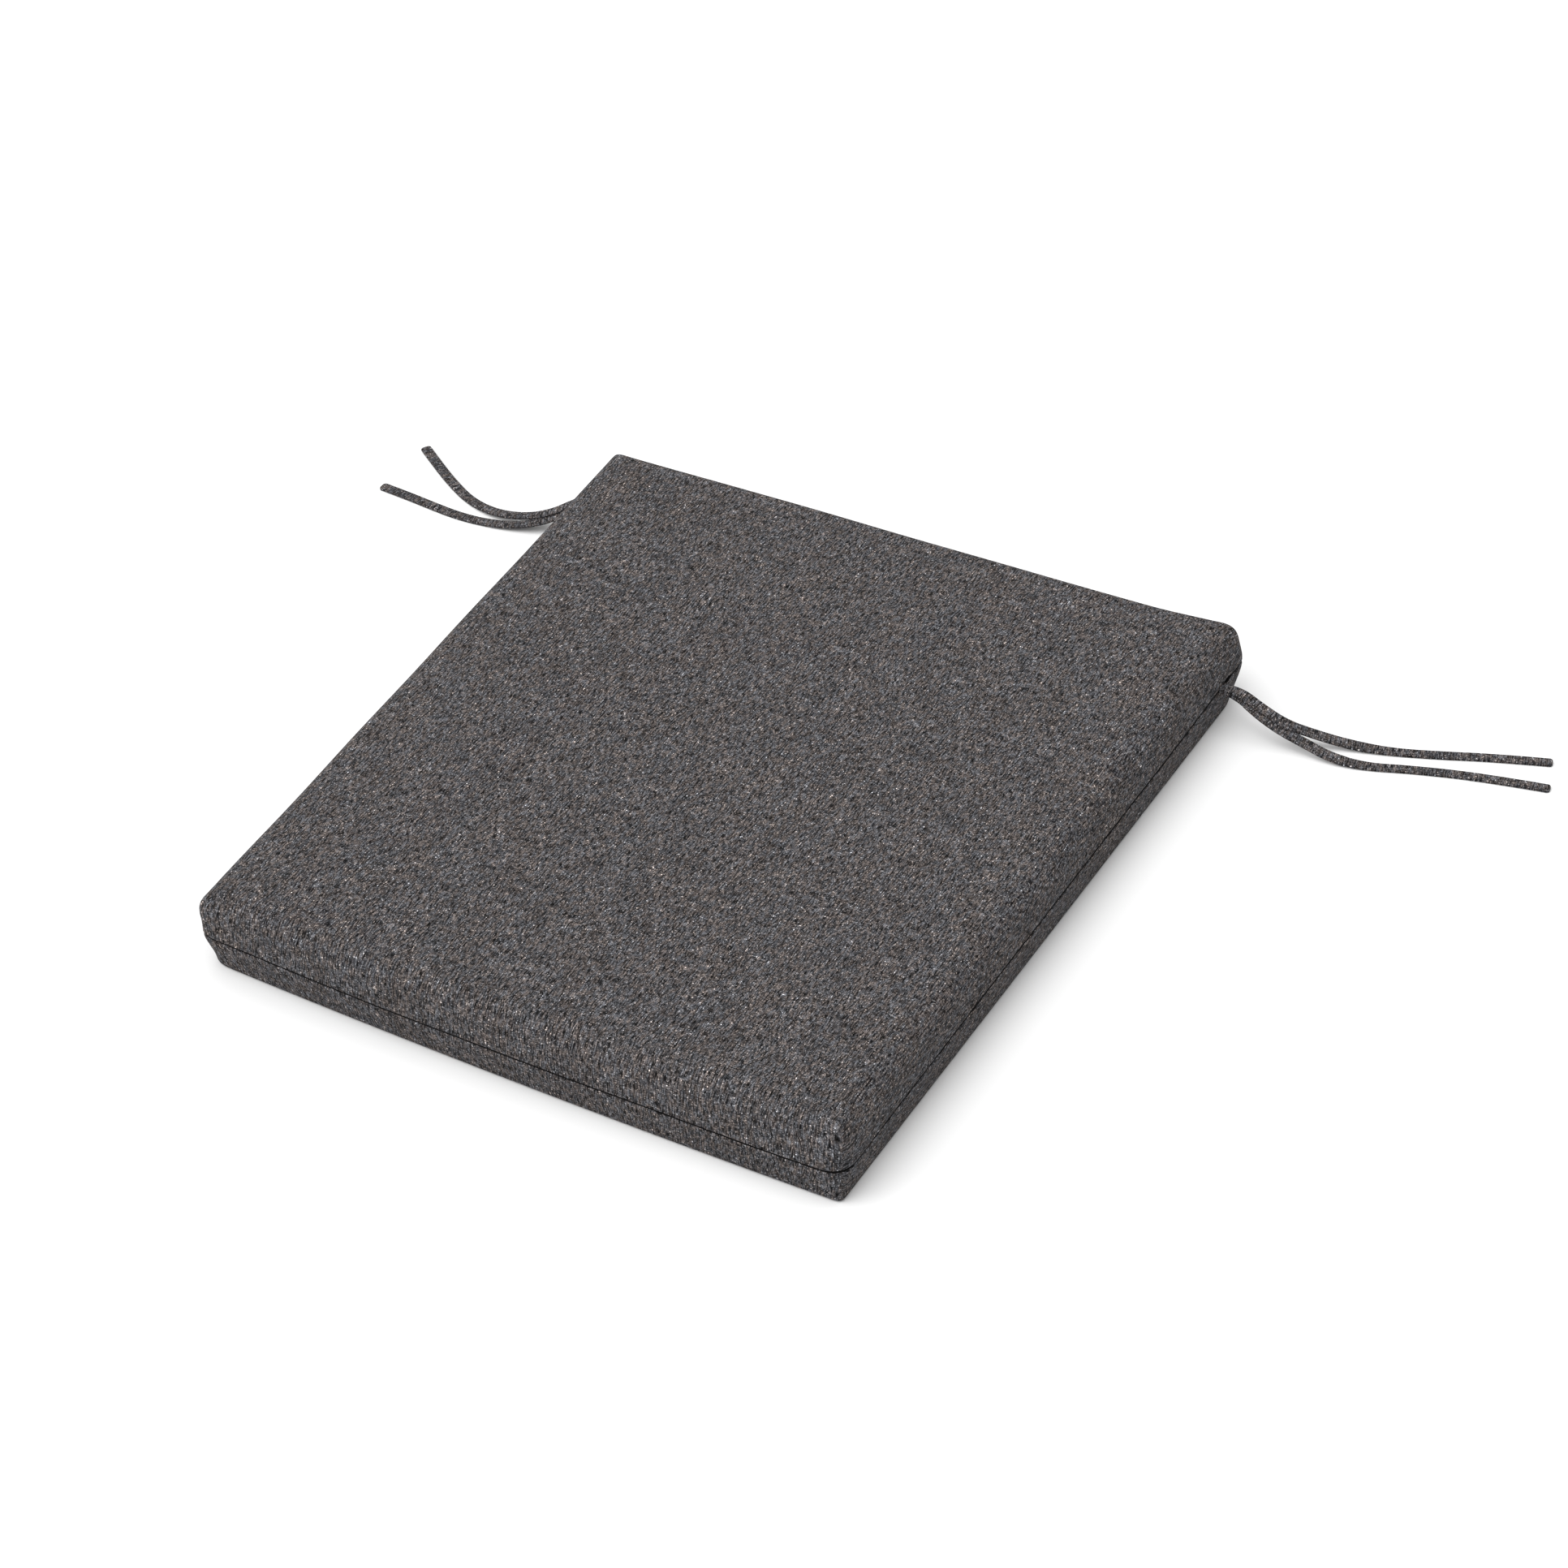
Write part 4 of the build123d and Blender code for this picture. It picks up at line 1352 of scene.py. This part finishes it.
# ---------------------------------------------------------------------------------------------------------
# The ties
# ---------------------------------------------------------------------------------------------------------
@dataclass
class Tail:
    """One tail of a tie: a folded strip that leaves the side seam and lies on the floor."""

    name: str
    route: list[Point]
    width: float = 7.5 * MM
    thickness: float = 2.0 * MM
    end_round: float = 2.0 * MM
    front_roll: float = radians(17)
    notch: float = 0.35 * MM
    stitch_edge: float = 1.15 * MM
    stitch_side: int = -1
    stitch_lift: float = 0.03 * MM
    stitch_stop: float = 2 * MM
    spans: int = 14
    corner_share: float = 0.8
    crown: float = 1.02
    roll_from: float = 0.02
    roll_to: float = 0.09
    end_thinning: float = 0.35
    end_parts: tuple[float, ...] = (1.0, 0.7, 0.4, 0.18, 0.05, 0.0)

    def line(self) -> list[Vector]:
        """Return points along the tail's smooth line, read from its spline."""
        curve = bpy.data.curves.new(f"{self.name}_line", "CURVE")
        curve.dimensions = "3D"
        curve.resolution_u = self.spans
        spline = curve.splines.new("NURBS")
        spline.points.add(len(self.route) - 1)
        for point, place in zip(spline.points, self.route):
            point.co = (*place, 1.0)
        spline.order_u = 3
        spline.use_endpoint_u = True
        carrier = bpy.data.objects.new(f"{self.name}_line", curve)
        bpy.context.scene.collection.objects.link(carrier)
        mesh = bpy.data.meshes.new_from_object(carrier)
        points = [v.co.copy() for v in mesh.vertices]
        bpy.data.objects.remove(carrier)
        bpy.data.curves.remove(curve)
        bpy.data.meshes.remove(mesh)
        return points

    def section(self) -> list[tuple[float, float]]:
        """Return the strip's cross-section, across and up, as shares of its half sizes.

        Its stitched edge has a notch between the two turned-in layers.
        """
        half, deep = self.width / 2, self.thickness / 2
        corner = deep * self.corner_share
        outline = []
        for centre_x, centre_z, first in (
            (half - corner, deep - corner, 0),
            (-half + corner, deep - corner, 90),
            (-half + corner, -deep + corner, 180),
            (half - corner, -deep + corner, 270),
        ):
            for turn in (5, 45, 85):
                angle = radians(first + turn)
                outline.append((centre_x + corner * cos(angle), centre_z + corner * sin(angle)))
        outline.insert(3, (0.0, deep * self.crown))
        outline.insert(7, (-half + self.notch, 0.0))
        outline.insert(11, (0.0, -deep * self.crown))
        outline.append((half, 0.0))
        return outline

    def frames(self, line: list[Vector]) -> list[tuple[Vector, Vector, Vector]]:
        """Return each point of the line with the strip's across and up directions."""
        found = []
        for k, here in enumerate(line):
            ahead = line[min(k + 1, len(line) - 1)] - line[max(k - 1, 0)]
            ahead.normalize()
            across = Vector((0, 0, 1)).cross(ahead).normalized()
            up = ahead.cross(across)
            share = k / (len(line) - 1)
            lifted = max((here.z - self.thickness / 2) / self.width, 0.0)
            turned = float(smooth_step(share, self.roll_from, self.roll_to))
            roll = min(self.front_roll * turned, lifted)
            across = across * cos(roll) + up * sin(roll)
            found.append((here, across, ahead.cross(across).normalized()))
        return found

    def build(self) -> tuple[bpy.types.Object, list[Vector], list[Point]]:
        """Build the strip.

        Returns:
            The strip, its line, and the path of its edge stitches.
        """
        line = self.line()
        frames = self.frames(line)
        section = self.section()
        travel = [0.0]
        for before, here in zip(line, line[1:]):
            travel.append(travel[-1] + (here - before).length)
        total = travel[-1]
        stations = [s for s in travel if s < total - self.end_round * 1.05]
        stations += [total - self.end_round * part for part in self.end_parts]
        count = len(section)
        points, stitches = [], []
        for station in stations:
            k = min(max(sum(s <= station for s in travel) - 1, 0), len(line) - 2)
            share = (station - travel[k]) / max(travel[k + 1] - travel[k], TINY)
            here = line[k].lerp(line[k + 1], share)
            across = frames[k][1].lerp(frames[k + 1][1], share).normalized()
            up = frames[k][2].lerp(frames[k + 1][2], share).normalized()
            left = max(total - station, 0.0)
            into_end = max(self.end_round - left, 0.0)
            cut = self.end_round - sqrt(max(self.end_round**2 - into_end**2, 0.0))
            narrow = (self.width / 2 - cut) / (self.width / 2)
            thin = 1.0 - self.end_thinning * (into_end / self.end_round) ** 2
            for x, z in section:
                points.append(here + across * x * narrow + up * z * thin)
            if left > self.stitch_stop:
                offset = self.stitch_side * (self.width / 2 - self.stitch_edge)
                lift = self.thickness / 2 + self.stitch_lift
                stitches.append(tuple(here + across * offset + up * lift))
        faces, maps = [], []
        girth = [0.0]
        for a, b in zip(section, section[1:] + section[:1]):
            girth.append(girth[-1] + sqrt((a[0] - b[0]) ** 2 + (a[1] - b[1]) ** 2))
        for row in range(len(stations) - 1):
            for k in range(count):
                near, far = row * count, (row + 1) * count
                faces.append([near + k, near + (k + 1) % count, far + (k + 1) % count, far + k])
                maps += [(stations[row], girth[k]), (stations[row], girth[k + 1]),
                         (stations[row + 1], girth[k + 1]), (stations[row + 1], girth[k])]
        last = (len(stations) - 1) * count
        faces.append(list(range(count))[::-1])
        maps += [(x, z) for x, z in section][::-1]
        faces.append([last + k for k in range(count)])
        maps += [(total + x, z) for x, z in section]
        obj = make_object(f"{self.name}_strip", np.array(points), faces, maps)
        return obj, line, stitches


@dataclass
class Ties:
    """The four tails, their stitched edges, and the folded middles caught in the side seams."""

    rows: RowMaker
    stitch_pitch: float = 3.0 * MM
    stitch_length: float = 2.1 * MM
    thread_radius: float = 0.2 * MM
    floor_z: float = 1.1 * MM
    fold_thickness: float = 1.95 * MM
    fold_rounding: float = 0.6
    bar_radius: float = 0.17 * MM
    bar_pitch: float = 0.42 * MM

    def __post_init__(self) -> None:
        """Take the exits from the anchors, and lay out the routes."""
        low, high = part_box("tie_anchor_right")
        exit_x, tie_y = high.x, (low.y + high.y) / 2
        middle, quarter = (low.z + high.z) / 2, (high.z - low.z) / 4
        upper_exit, lower_exit = middle + quarter, middle - quarter
        floor_z = self.floor_z
        self.tails = [
            Tail("tie_right_rear", [
                (exit_x, tie_y, upper_exit), (0.243, tie_y, upper_exit), (0.2595, 0.2445, 0.023),
                (0.277, 0.2445, 0.016), (0.295, 0.2515, 0.0092), (0.317, 0.2585, 0.0036),
                (0.342, 0.2663, floor_z), (0.372, 0.2775, floor_z), (0.405, 0.2915, floor_z),
                (0.440, 0.3035, floor_z),
            ]),
            Tail("tie_right_front", [
                (exit_x, tie_y, lower_exit), (0.241, tie_y, lower_exit), (0.258, 0.2415, 0.0205),
                (0.275, 0.240, 0.0137), (0.292, 0.2412, 0.0082), (0.312, 0.2398, 0.0038),
                (0.334, 0.2445, floor_z), (0.362, 0.2555, floor_z), (0.405, 0.2685, floor_z),
                (0.4485, 0.277, floor_z),
            ]),
            Tail("tie_left_rear", [
                (-exit_x, tie_y, upper_exit), (-0.2315, tie_y, upper_exit), (-0.238, 0.2469, 0.0279),
                (-0.2453, 0.2465, 0.0249), (-0.2533, 0.2452, 0.019), (-0.2635, 0.2418, 0.0122),
                (-0.2775, 0.2373, 0.0071), (-0.294, 0.2346, 0.0044), (-0.311, 0.236, 0.0026),
                (-0.329, 0.2426, floor_z), (-0.346, 0.2526, floor_z), (-0.366, 0.2668, floor_z),
                (-0.388, 0.284, floor_z),
            ], stitch_side=1, front_roll=radians(-2)),
            Tail("tie_left_front", [
                (-exit_x, tie_y, lower_exit), (-0.2316, tie_y, lower_exit), (-0.2382, 0.2468, 0.0257),
                (-0.2456, 0.2457, 0.0223), (-0.2528, 0.2428, 0.0162), (-0.2612, 0.2377, 0.0101),
                (-0.2743, 0.2313, 0.0055), (-0.29, 0.2263, 0.0027), (-0.308, 0.2236, floor_z),
                (-0.327, 0.2226, floor_z), (-0.347, 0.2246, floor_z), (-0.368, 0.2274, floor_z),
                (-0.391, 0.2295, floor_z),
            ], stitch_side=1, front_roll=radians(-2)),
        ]

    def build(self, finishes: Finishes) -> None:
        """Build and dress every piece of the ties."""
        thread = finishes["black_sewing_thread"]
        for tail in self.tails:
            strip, line, stitches = tail.build()
            dress(strip, finishes["charcoal_tweed"], Slot.TIE, Body.COVER, tail.name)
            row = self.rows.make(f"{tail.name}_stitches", self.rows.stitches, [stitches], {
                "Pitch": self.stitch_pitch, "Stitch Length": self.stitch_length,
                "Thread Radius": self.thread_radius, "Thread": thread,
            })
            dress(row, thread, Slot.THREAD, Body.COVER)
        for side, sign in (("right", 1), ("left", -1)):
            anchor = self.anchor(side, sign)
            dress(anchor, finishes["charcoal_tweed"], Slot.TIE, Body.COVER, f"tie_anchor_{side}")
            tack = self.bartack(side, thread)
            dress(tack, thread, Slot.THREAD, Body.COVER, f"tie_bartack_{side}")

    def anchor(self, side: str, sign: int) -> bpy.types.Object:
        """Return the folded middle of one tie: a strip that turns back on itself inside the seam."""
        low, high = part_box(f"tie_anchor_{side}")
        inner_x = low.x if sign > 0 else high.x
        outer_x = high.x if sign > 0 else low.x
        middle = (low.z + high.z) / 2
        thick = self.fold_thickness
        turn = (high.z - low.z) / 2 - thick / 2
        centre_x = inner_x + sign * (turn + thick / 2)
        spine = [(outer_x, middle + turn)]
        for angle in (radians(degrees) for degrees in range(0, 181, 30)):
            spine.append((centre_x - sign * turn * sin(angle), middle + turn * cos(angle)))
        spine.append((outer_x, middle - turn))
        half, y_middle, edge = (high.y - low.y) / 2, (low.y + high.y) / 2, thick / 2
        flat = half - edge * self.fold_rounding
        outline = ((-half, 0), (-flat, -edge), (flat, -edge), (half, 0), (flat, edge), (-flat, edge))
        points, count = [], len(outline)
        for k, (x, z) in enumerate(spine):
            before, after = spine[max(k - 1, 0)], spine[min(k + 1, len(spine) - 1)]
            run = Vector((after[0] - before[0], 0, after[1] - before[1])).normalized()
            up = Vector((0, 1, 0)).cross(run)
            for y, offset in outline:
                points.append(Vector((x, y_middle + y, z)) + up * offset)
        faces, maps = [], []
        for row in range(len(spine) - 1):
            for k in range(count):
                near, far = row * count, (row + 1) * count
                faces.append([near + k, near + (k + 1) % count, far + (k + 1) % count, far + k])
                cell = ((row, k), (row, k + 1), (row + 1, k + 1), (row + 1, k))
                maps += [(along * MM, round_it * MM) for along, round_it in cell]
        last = (len(spine) - 1) * count
        faces += [list(range(count))[::-1], [last + k for k in range(count)]]
        maps += [(k * MM, 0.0) for k in range(count)] * 2
        if sign > 0:
            faces = [face[::-1] for face in faces]
        return make_object(f"tie_fold_{side}", np.array(points), faces, maps)

    def bartack(self, side: str, thread: bpy.types.Material) -> bpy.types.Object:
        """Return the close bar stitches on both faces of one anchor."""
        low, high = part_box(f"tie_bartack_{side}")
        y = (low.y + high.y) / 2
        radius = self.bar_radius
        levels = (low.z + radius, high.z - radius)
        paths = [[(low.x + radius, y, z), (high.x - radius, y, z)] for z in levels]
        return self.rows.make(f"tie_bar_stitches_{side}", self.rows.stitches, paths, {
            "Pitch": self.bar_pitch, "Stitch Length": high.y - low.y, "Thread Radius": radius,
            "Turn": pi / 2, "Thread": thread,
        })


# ---------------------------------------------------------------------------------------------------------
# Seam threads, zip and label
# ---------------------------------------------------------------------------------------------------------
@dataclass
class SeamThreads:
    """The lockstitch of the long seam, inside on the two allowances."""

    cover: Cover
    rows: RowMaker
    inward: float = 2.6 * MM
    pitch: float = 2.8 * MM
    length: float = 2.4 * MM
    radius: float = 0.16 * MM

    def build(self, finishes: Finishes) -> None:
        """Build and dress the needle thread and the bobbin thread."""
        thread = finishes["black_sewing_thread"]
        for panel, node, sign in (
            (self.cover.upper, "seam_thread_needle", 1),
            (self.cover.lower, "seam_thread_bobbin", -1),
        ):
            xs = np.array([panel.xs[i] for i, _, _ in panel.rim])
            ys = np.array([panel.ys[j] for _, j, _ in panel.rim])
            open_here = np.maximum(self.cover.slot_share(xs, ys), self.cover.tie_share(xs, ys)) > 0.0
            lift = sign * (self.cover.cloth + self.radius - self.cover.roll)
            runs, run = [], []
            first = int(np.argmax(open_here))
            for step in range(first, first + panel.count + 1):
                k = step % panel.count
                if open_here[k]:
                    if len(run) > 1:
                        runs.append(run)
                    run = []
                    continue
                place = panel.points[panel.number(panel.edge_ring, k)] - panel.edge_out[k] * self.inward
                run.append((place[0], place[1], place[2] + lift))
            row = self.rows.make(node.replace("thread", "stitches"), self.rows.stitches, runs, {
                "Pitch": self.pitch, "Stitch Length": self.length, "Thread Radius": self.radius,
                "Thread": thread,
            })
            dress(row, thread, Slot.THREAD, Body.COVER, node)


@dataclass
class Zip:
    """The back zip's tapes, coils and stitch lines. Its slider, pull and stops keep their CAD shapes."""

    rows: RowMaker
    coil_pitch: float = 1.4 * MM
    wire: float = 0.25 * MM
    interlock: float = 0.2 * MM
    tape_gap: float = 0.3 * MM
    stitch_pitch: float = 3.0 * MM
    stitch_length: float = 2.3 * MM
    stitch_radius: float = 0.2 * MM
    stitch_depth: float = 0.05 * MM
    tape_spans: int = 60
    tape_thinness: float = 0.28
    cord_start: float = 0.5 * MM
    cord_end: float = 1.4 * MM
    cord_foot: float = 2.2 * MM

    def build(self, finishes: Finishes) -> None:
        """Build and dress the zip."""
        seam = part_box("upper_panel")[0].z
        for side, sign in (("upper", 1), ("lower", -1)):
            tape = self.tape(side, sign, seam)
            dress(tape, finishes["black_zip_tape"], Slot.TAPE, Body.COVER, f"zip_tape_{side}")
            coil = self.coil(side, sign, seam, finishes["zip_nylon"])
            dress(coil, finishes["zip_nylon"], Slot.COIL, Body.COVER, f"zip_coil_{side}")
            low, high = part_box(f"zip_stitch_{side}")
            y, z = low.y + self.stitch_depth, (low.z + high.z) / 2
            path = [(low.x, y, z), (high.x, y, z)]
            row = self.rows.make(f"zip_topstitch_{side}", self.rows.stitches, [path], {
                "Pitch": self.stitch_pitch, "Stitch Length": self.stitch_length,
                "Thread Radius": self.stitch_radius, "Thread": finishes["black_sewing_thread"],
            })
            dress(row, finishes["black_sewing_thread"], Slot.THREAD, Body.COVER, f"zip_stitch_{side}")
        for node in ("zip_slider", "zip_pull_tab", "zip_top_stop", "zip_bottom_stop"):
            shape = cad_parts[node]
            shape.data.materials.clear()
            shape.data.materials.append(finishes["zip_lacquered_metal"])

    def tape(self, side: str, sign: int, seam: float) -> bpy.types.Object:
        """Return one tape: a thin woven strip with a corded edge beside the coil."""
        low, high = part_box(f"zip_tape_{side}")
        near = seam + sign * self.tape_gap
        far = high.z if sign > 0 else low.z
        back, front = low.y, high.y
        middle = (back + front) / 2
        thin = (front - back) * self.tape_thinness
        foot, end, start = (near + sign * d for d in (self.cord_foot, self.cord_end, self.cord_start))
        profile = [(middle - thin, far), (middle - thin, foot), (back, end), (back, start), (middle, near)]
        profile += [(front, start), (front, end), (middle + thin, foot), (middle + thin, far)]
        length = high.x - low.x
        spans = self.tape_spans
        points, faces, maps = [], [], []
        count = len(profile)
        for row in range(spans + 1):
            x = low.x + length * row / spans
            points += [(x, y, z) for y, z in profile]
        for row in range(spans):
            for k in range(count):
                here, ahead, beside = row * count, (row + 1) * count, (k + 1) % count
                faces.append([here + k, here + beside, ahead + beside, ahead + k])
        faces += [list(range(count))[::-1], [spans * count + k for k in range(count)]]
        if sign > 0:
            faces = [face[::-1] for face in faces]
        for face in faces:
            maps += [(points[n][0], points[n][2]) for n in face]
        return make_object(f"zip_tape_strip_{side}", np.array(points), faces, maps, smooth=False)

    def coil(self, side: str, sign: int, seam: float, nylon: bpy.types.Material) -> bpy.types.Object:
        """Return one row of the coil, wound along its tape."""
        low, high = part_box(f"zip_coil_{side}")
        inner = seam - sign * self.interlock
        outer = high.z if sign > 0 else low.z
        length = high.x - low.x - 2 * self.wire
        half_z = abs(outer - inner) / 2 - self.wire
        half_y = (high.y - low.y) / 2 - self.wire
        start = (low.x + self.wire, (low.y + high.y) / 2, (inner + outer) / 2)
        path = [(0.0, 0.0, 0.0), (length, 0.0, 0.0)]
        return self.rows.make(f"zip_coil_row_{side}", self.rows.coil, [path], {
            "Turns": float(round(length / self.coil_pitch)), "Length": length,
            "Size": (half_z, half_y, 1.0), "Start": start, "Wire Radius": self.wire, "Nylon": nylon,
        })


@dataclass
class CareLabel:
    """A blank label: a strip folded at its lower end, whose two leaves go into the back seam."""

    leaf: float = 0.16 * MM
    curl: float = 0.9 * MM
    steps: int = 18
    columns: int = 8
    tucked_steps: int = 4
    face_lift: float = 0.1 * MM
    half_gap: float = 0.14 * MM
    tuck_drop: float = 0.06 * MM
    turn_drop: float = 0.2 * MM
    fold_rise: float = 0.5 * MM
    leaf_apart: float = 0.26 * MM
    bow: float = 0.25 * MM

    def build(self, finishes: Finishes) -> bpy.types.Object:
        """Returns:
            The label.
        """
        low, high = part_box("care_label")
        top, drop = high.z, high.z - low.z
        face_y = (high.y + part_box("upper_panel")[1].y) / 2 + self.face_lift
        tuck = face_y - low.y
        tucked = [
            (low.y + tuck * k / self.tucked_steps, top - self.tuck_drop) for k in range(self.tucked_steps)
        ]
        hanging = []
        for share in (k / self.steps for k in range(self.steps + 1)):
            y = face_y + self.half_gap + self.curl * share**2
            hanging.append((y, top - self.turn_drop - (drop - self.fold_rise) * share))
        inner = [(y, z - self.leaf_apart) for y, z in tucked]
        inner += [(y - 2 * self.half_gap, z) for y, z in hanging]
        fold_y = (hanging[-1][0] + inner[-1][0]) / 2
        spine = tucked + hanging + [(fold_y, hanging[-1][1] - self.half_gap)] + inner[::-1]
        points, faces, maps = [], [], []
        across = self.columns
        for y, z in spine:
            for c in range(across + 1):
                x = low.x + (high.x - low.x) * c / across
                lift = self.bow * sin(pi * c / across) * max(0.0, (top - z) / drop)
                points.append((x, y + lift, z))
        for k in range(len(spine) - 1):
            for c in range(across):
                a = k * (across + 1) + c
                face = [a, a + across + 1, a + across + 2, a + 1]
                faces.append(face)
                maps += [(points[n][0], spine[n // (across + 1)][1]) for n in face]
        obj = make_object("care_label_leaf", np.array(points), faces, maps)
        thicken = obj.modifiers.new("Cloth thickness", "SOLIDIFY")
        thicken.thickness = self.leaf
        thicken.offset = 0
        dress(obj, finishes["white_label_satin"], Slot.LABEL, Body.COVER, "care_label")
        return obj


# ---------------------------------------------------------------------------------------------------------
# Studio
# ---------------------------------------------------------------------------------------------------------
@dataclass
class Studio:
    """The floor, the soft light and the camera."""

    azimuth: float = 27.13
    elevation: float = 37.75
    distance: float = 3.6477
    target: Point = (0.00784, 0.0587, 0.0)
    lens: float = 130.3
    sensor: float = 36.0
    far_clip: float = 50.0
    floor_half: float = 6.0
    floor_colour: tuple = rgba(0.70, 0.70, 0.70)
    floor_roughness: float = 0.9
    world_light: float = 0.85
    key_power: float = 2.53
    key_azimuth: float = -35.0
    key_elevation: float = 50.0
    top_power: float = 1.0
    lamp_spread: float = 60.0

    def build(self) -> None:
        """Build the studio."""
        self.build_camera()
        self.build_floor()
        self.build_light()
        scene = bpy.context.scene
        scene.view_settings.view_transform = "Standard"

    @staticmethod
    def towards(azimuth: float, elevation: float) -> Vector:
        """Return the direction to a place seen from the pad; azimuth 0 is the front and 90 the right."""
        turn, rise = radians(azimuth), radians(elevation)
        return Vector((sin(turn) * cos(rise), -cos(turn) * cos(rise), sin(rise)))

    def build_camera(self) -> None:
        """Aim the camera at the pad."""
        back = self.towards(self.azimuth, self.elevation)
        data = bpy.data.cameras.new("camera")
        data.lens = self.lens
        data.sensor_width = self.sensor
        data.clip_end = self.far_clip
        camera = bpy.data.objects.new("camera", data)
        camera.location = Vector(self.target) + back * self.distance
        camera.rotation_mode = "QUATERNION"
        camera.rotation_quaternion = (-back).to_track_quat("-Z", "Y")
        bpy.context.scene.collection.objects.link(camera)
        bpy.context.scene.camera = camera

    def build_floor(self) -> None:
        """Lay the pale floor."""
        h = self.floor_half
        corners = np.array([(-h, -h, 0), (h, -h, 0), (h, h, 0), (-h, h, 0)])
        floor = make_object("floor", corners, [[0, 1, 2, 3]])
        material = bpy.data.materials.new("pale_floor")
        material.use_nodes = True
        shader = material.node_tree.nodes["Principled BSDF"]
        shader.inputs["Base Color"].default_value = self.floor_colour
        shader.inputs["Roughness"].default_value = self.floor_roughness
        shader.inputs["Specular IOR Level"].default_value = 0.0
        floor.data.materials.append(material)

    def build_light(self) -> None:
        """Light the room evenly, with a soft key from the front left."""
        world = bpy.data.worlds.new("soft_room")
        world.use_nodes = True
        t = Tree(world.node_tree)
        seen = t.add("ShaderNodeLightPath").outputs["Is Camera Ray"]
        strength = t.blend(seen, self.world_light, 1.0)
        glow = t.add("ShaderNodeBackground", {"Color": rgba(1.0, 1.0, 1.0), "Strength": strength})
        t.add("ShaderNodeOutputWorld", {"Surface": glow.outputs[0]})
        bpy.context.scene.world = world
        for name, azimuth, elevation, power in (
            ("front_left_key", self.key_azimuth, self.key_elevation, self.key_power),
            ("overhead_fill", 0.0, 90.0, self.top_power),
        ):
            data = bpy.data.lights.new(name, "SUN")
            data.angle = radians(self.lamp_spread)
            data.energy = power
            lamp = bpy.data.objects.new(name, data)
            lamp.rotation_mode = "QUATERNION"
            lamp.rotation_quaternion = self.towards(azimuth, elevation).to_track_quat("Z", "Y")
            bpy.context.scene.collection.objects.link(lamp)


def main() -> None:
    """Build the pad, piece by piece."""
    logging.basicConfig(level=logging.INFO, format="%(message)s")
    Studio().build()
    finishes = Finishes()
    rows = RowMaker()
    ties = Ties(rows)
    ties.build(finishes)
    cover = Cover(PadForm())
    panels = cover.build()
    cover.dress(panels, finishes)
    LOG.info("the cover has %d and %d points", *(len(p.data.vertices) for p in panels))
    SeamThreads(cover, rows).build(finishes)
    filling = Filling()
    filling.dress(filling.build(), finishes)
    LOG.info("the foam and its wadding are in")
    Zip(rows).build(finishes)
    CareLabel().build(finishes)
    LOG.info("the zip and the label are in")


if __name__ == "__main__":
    main()
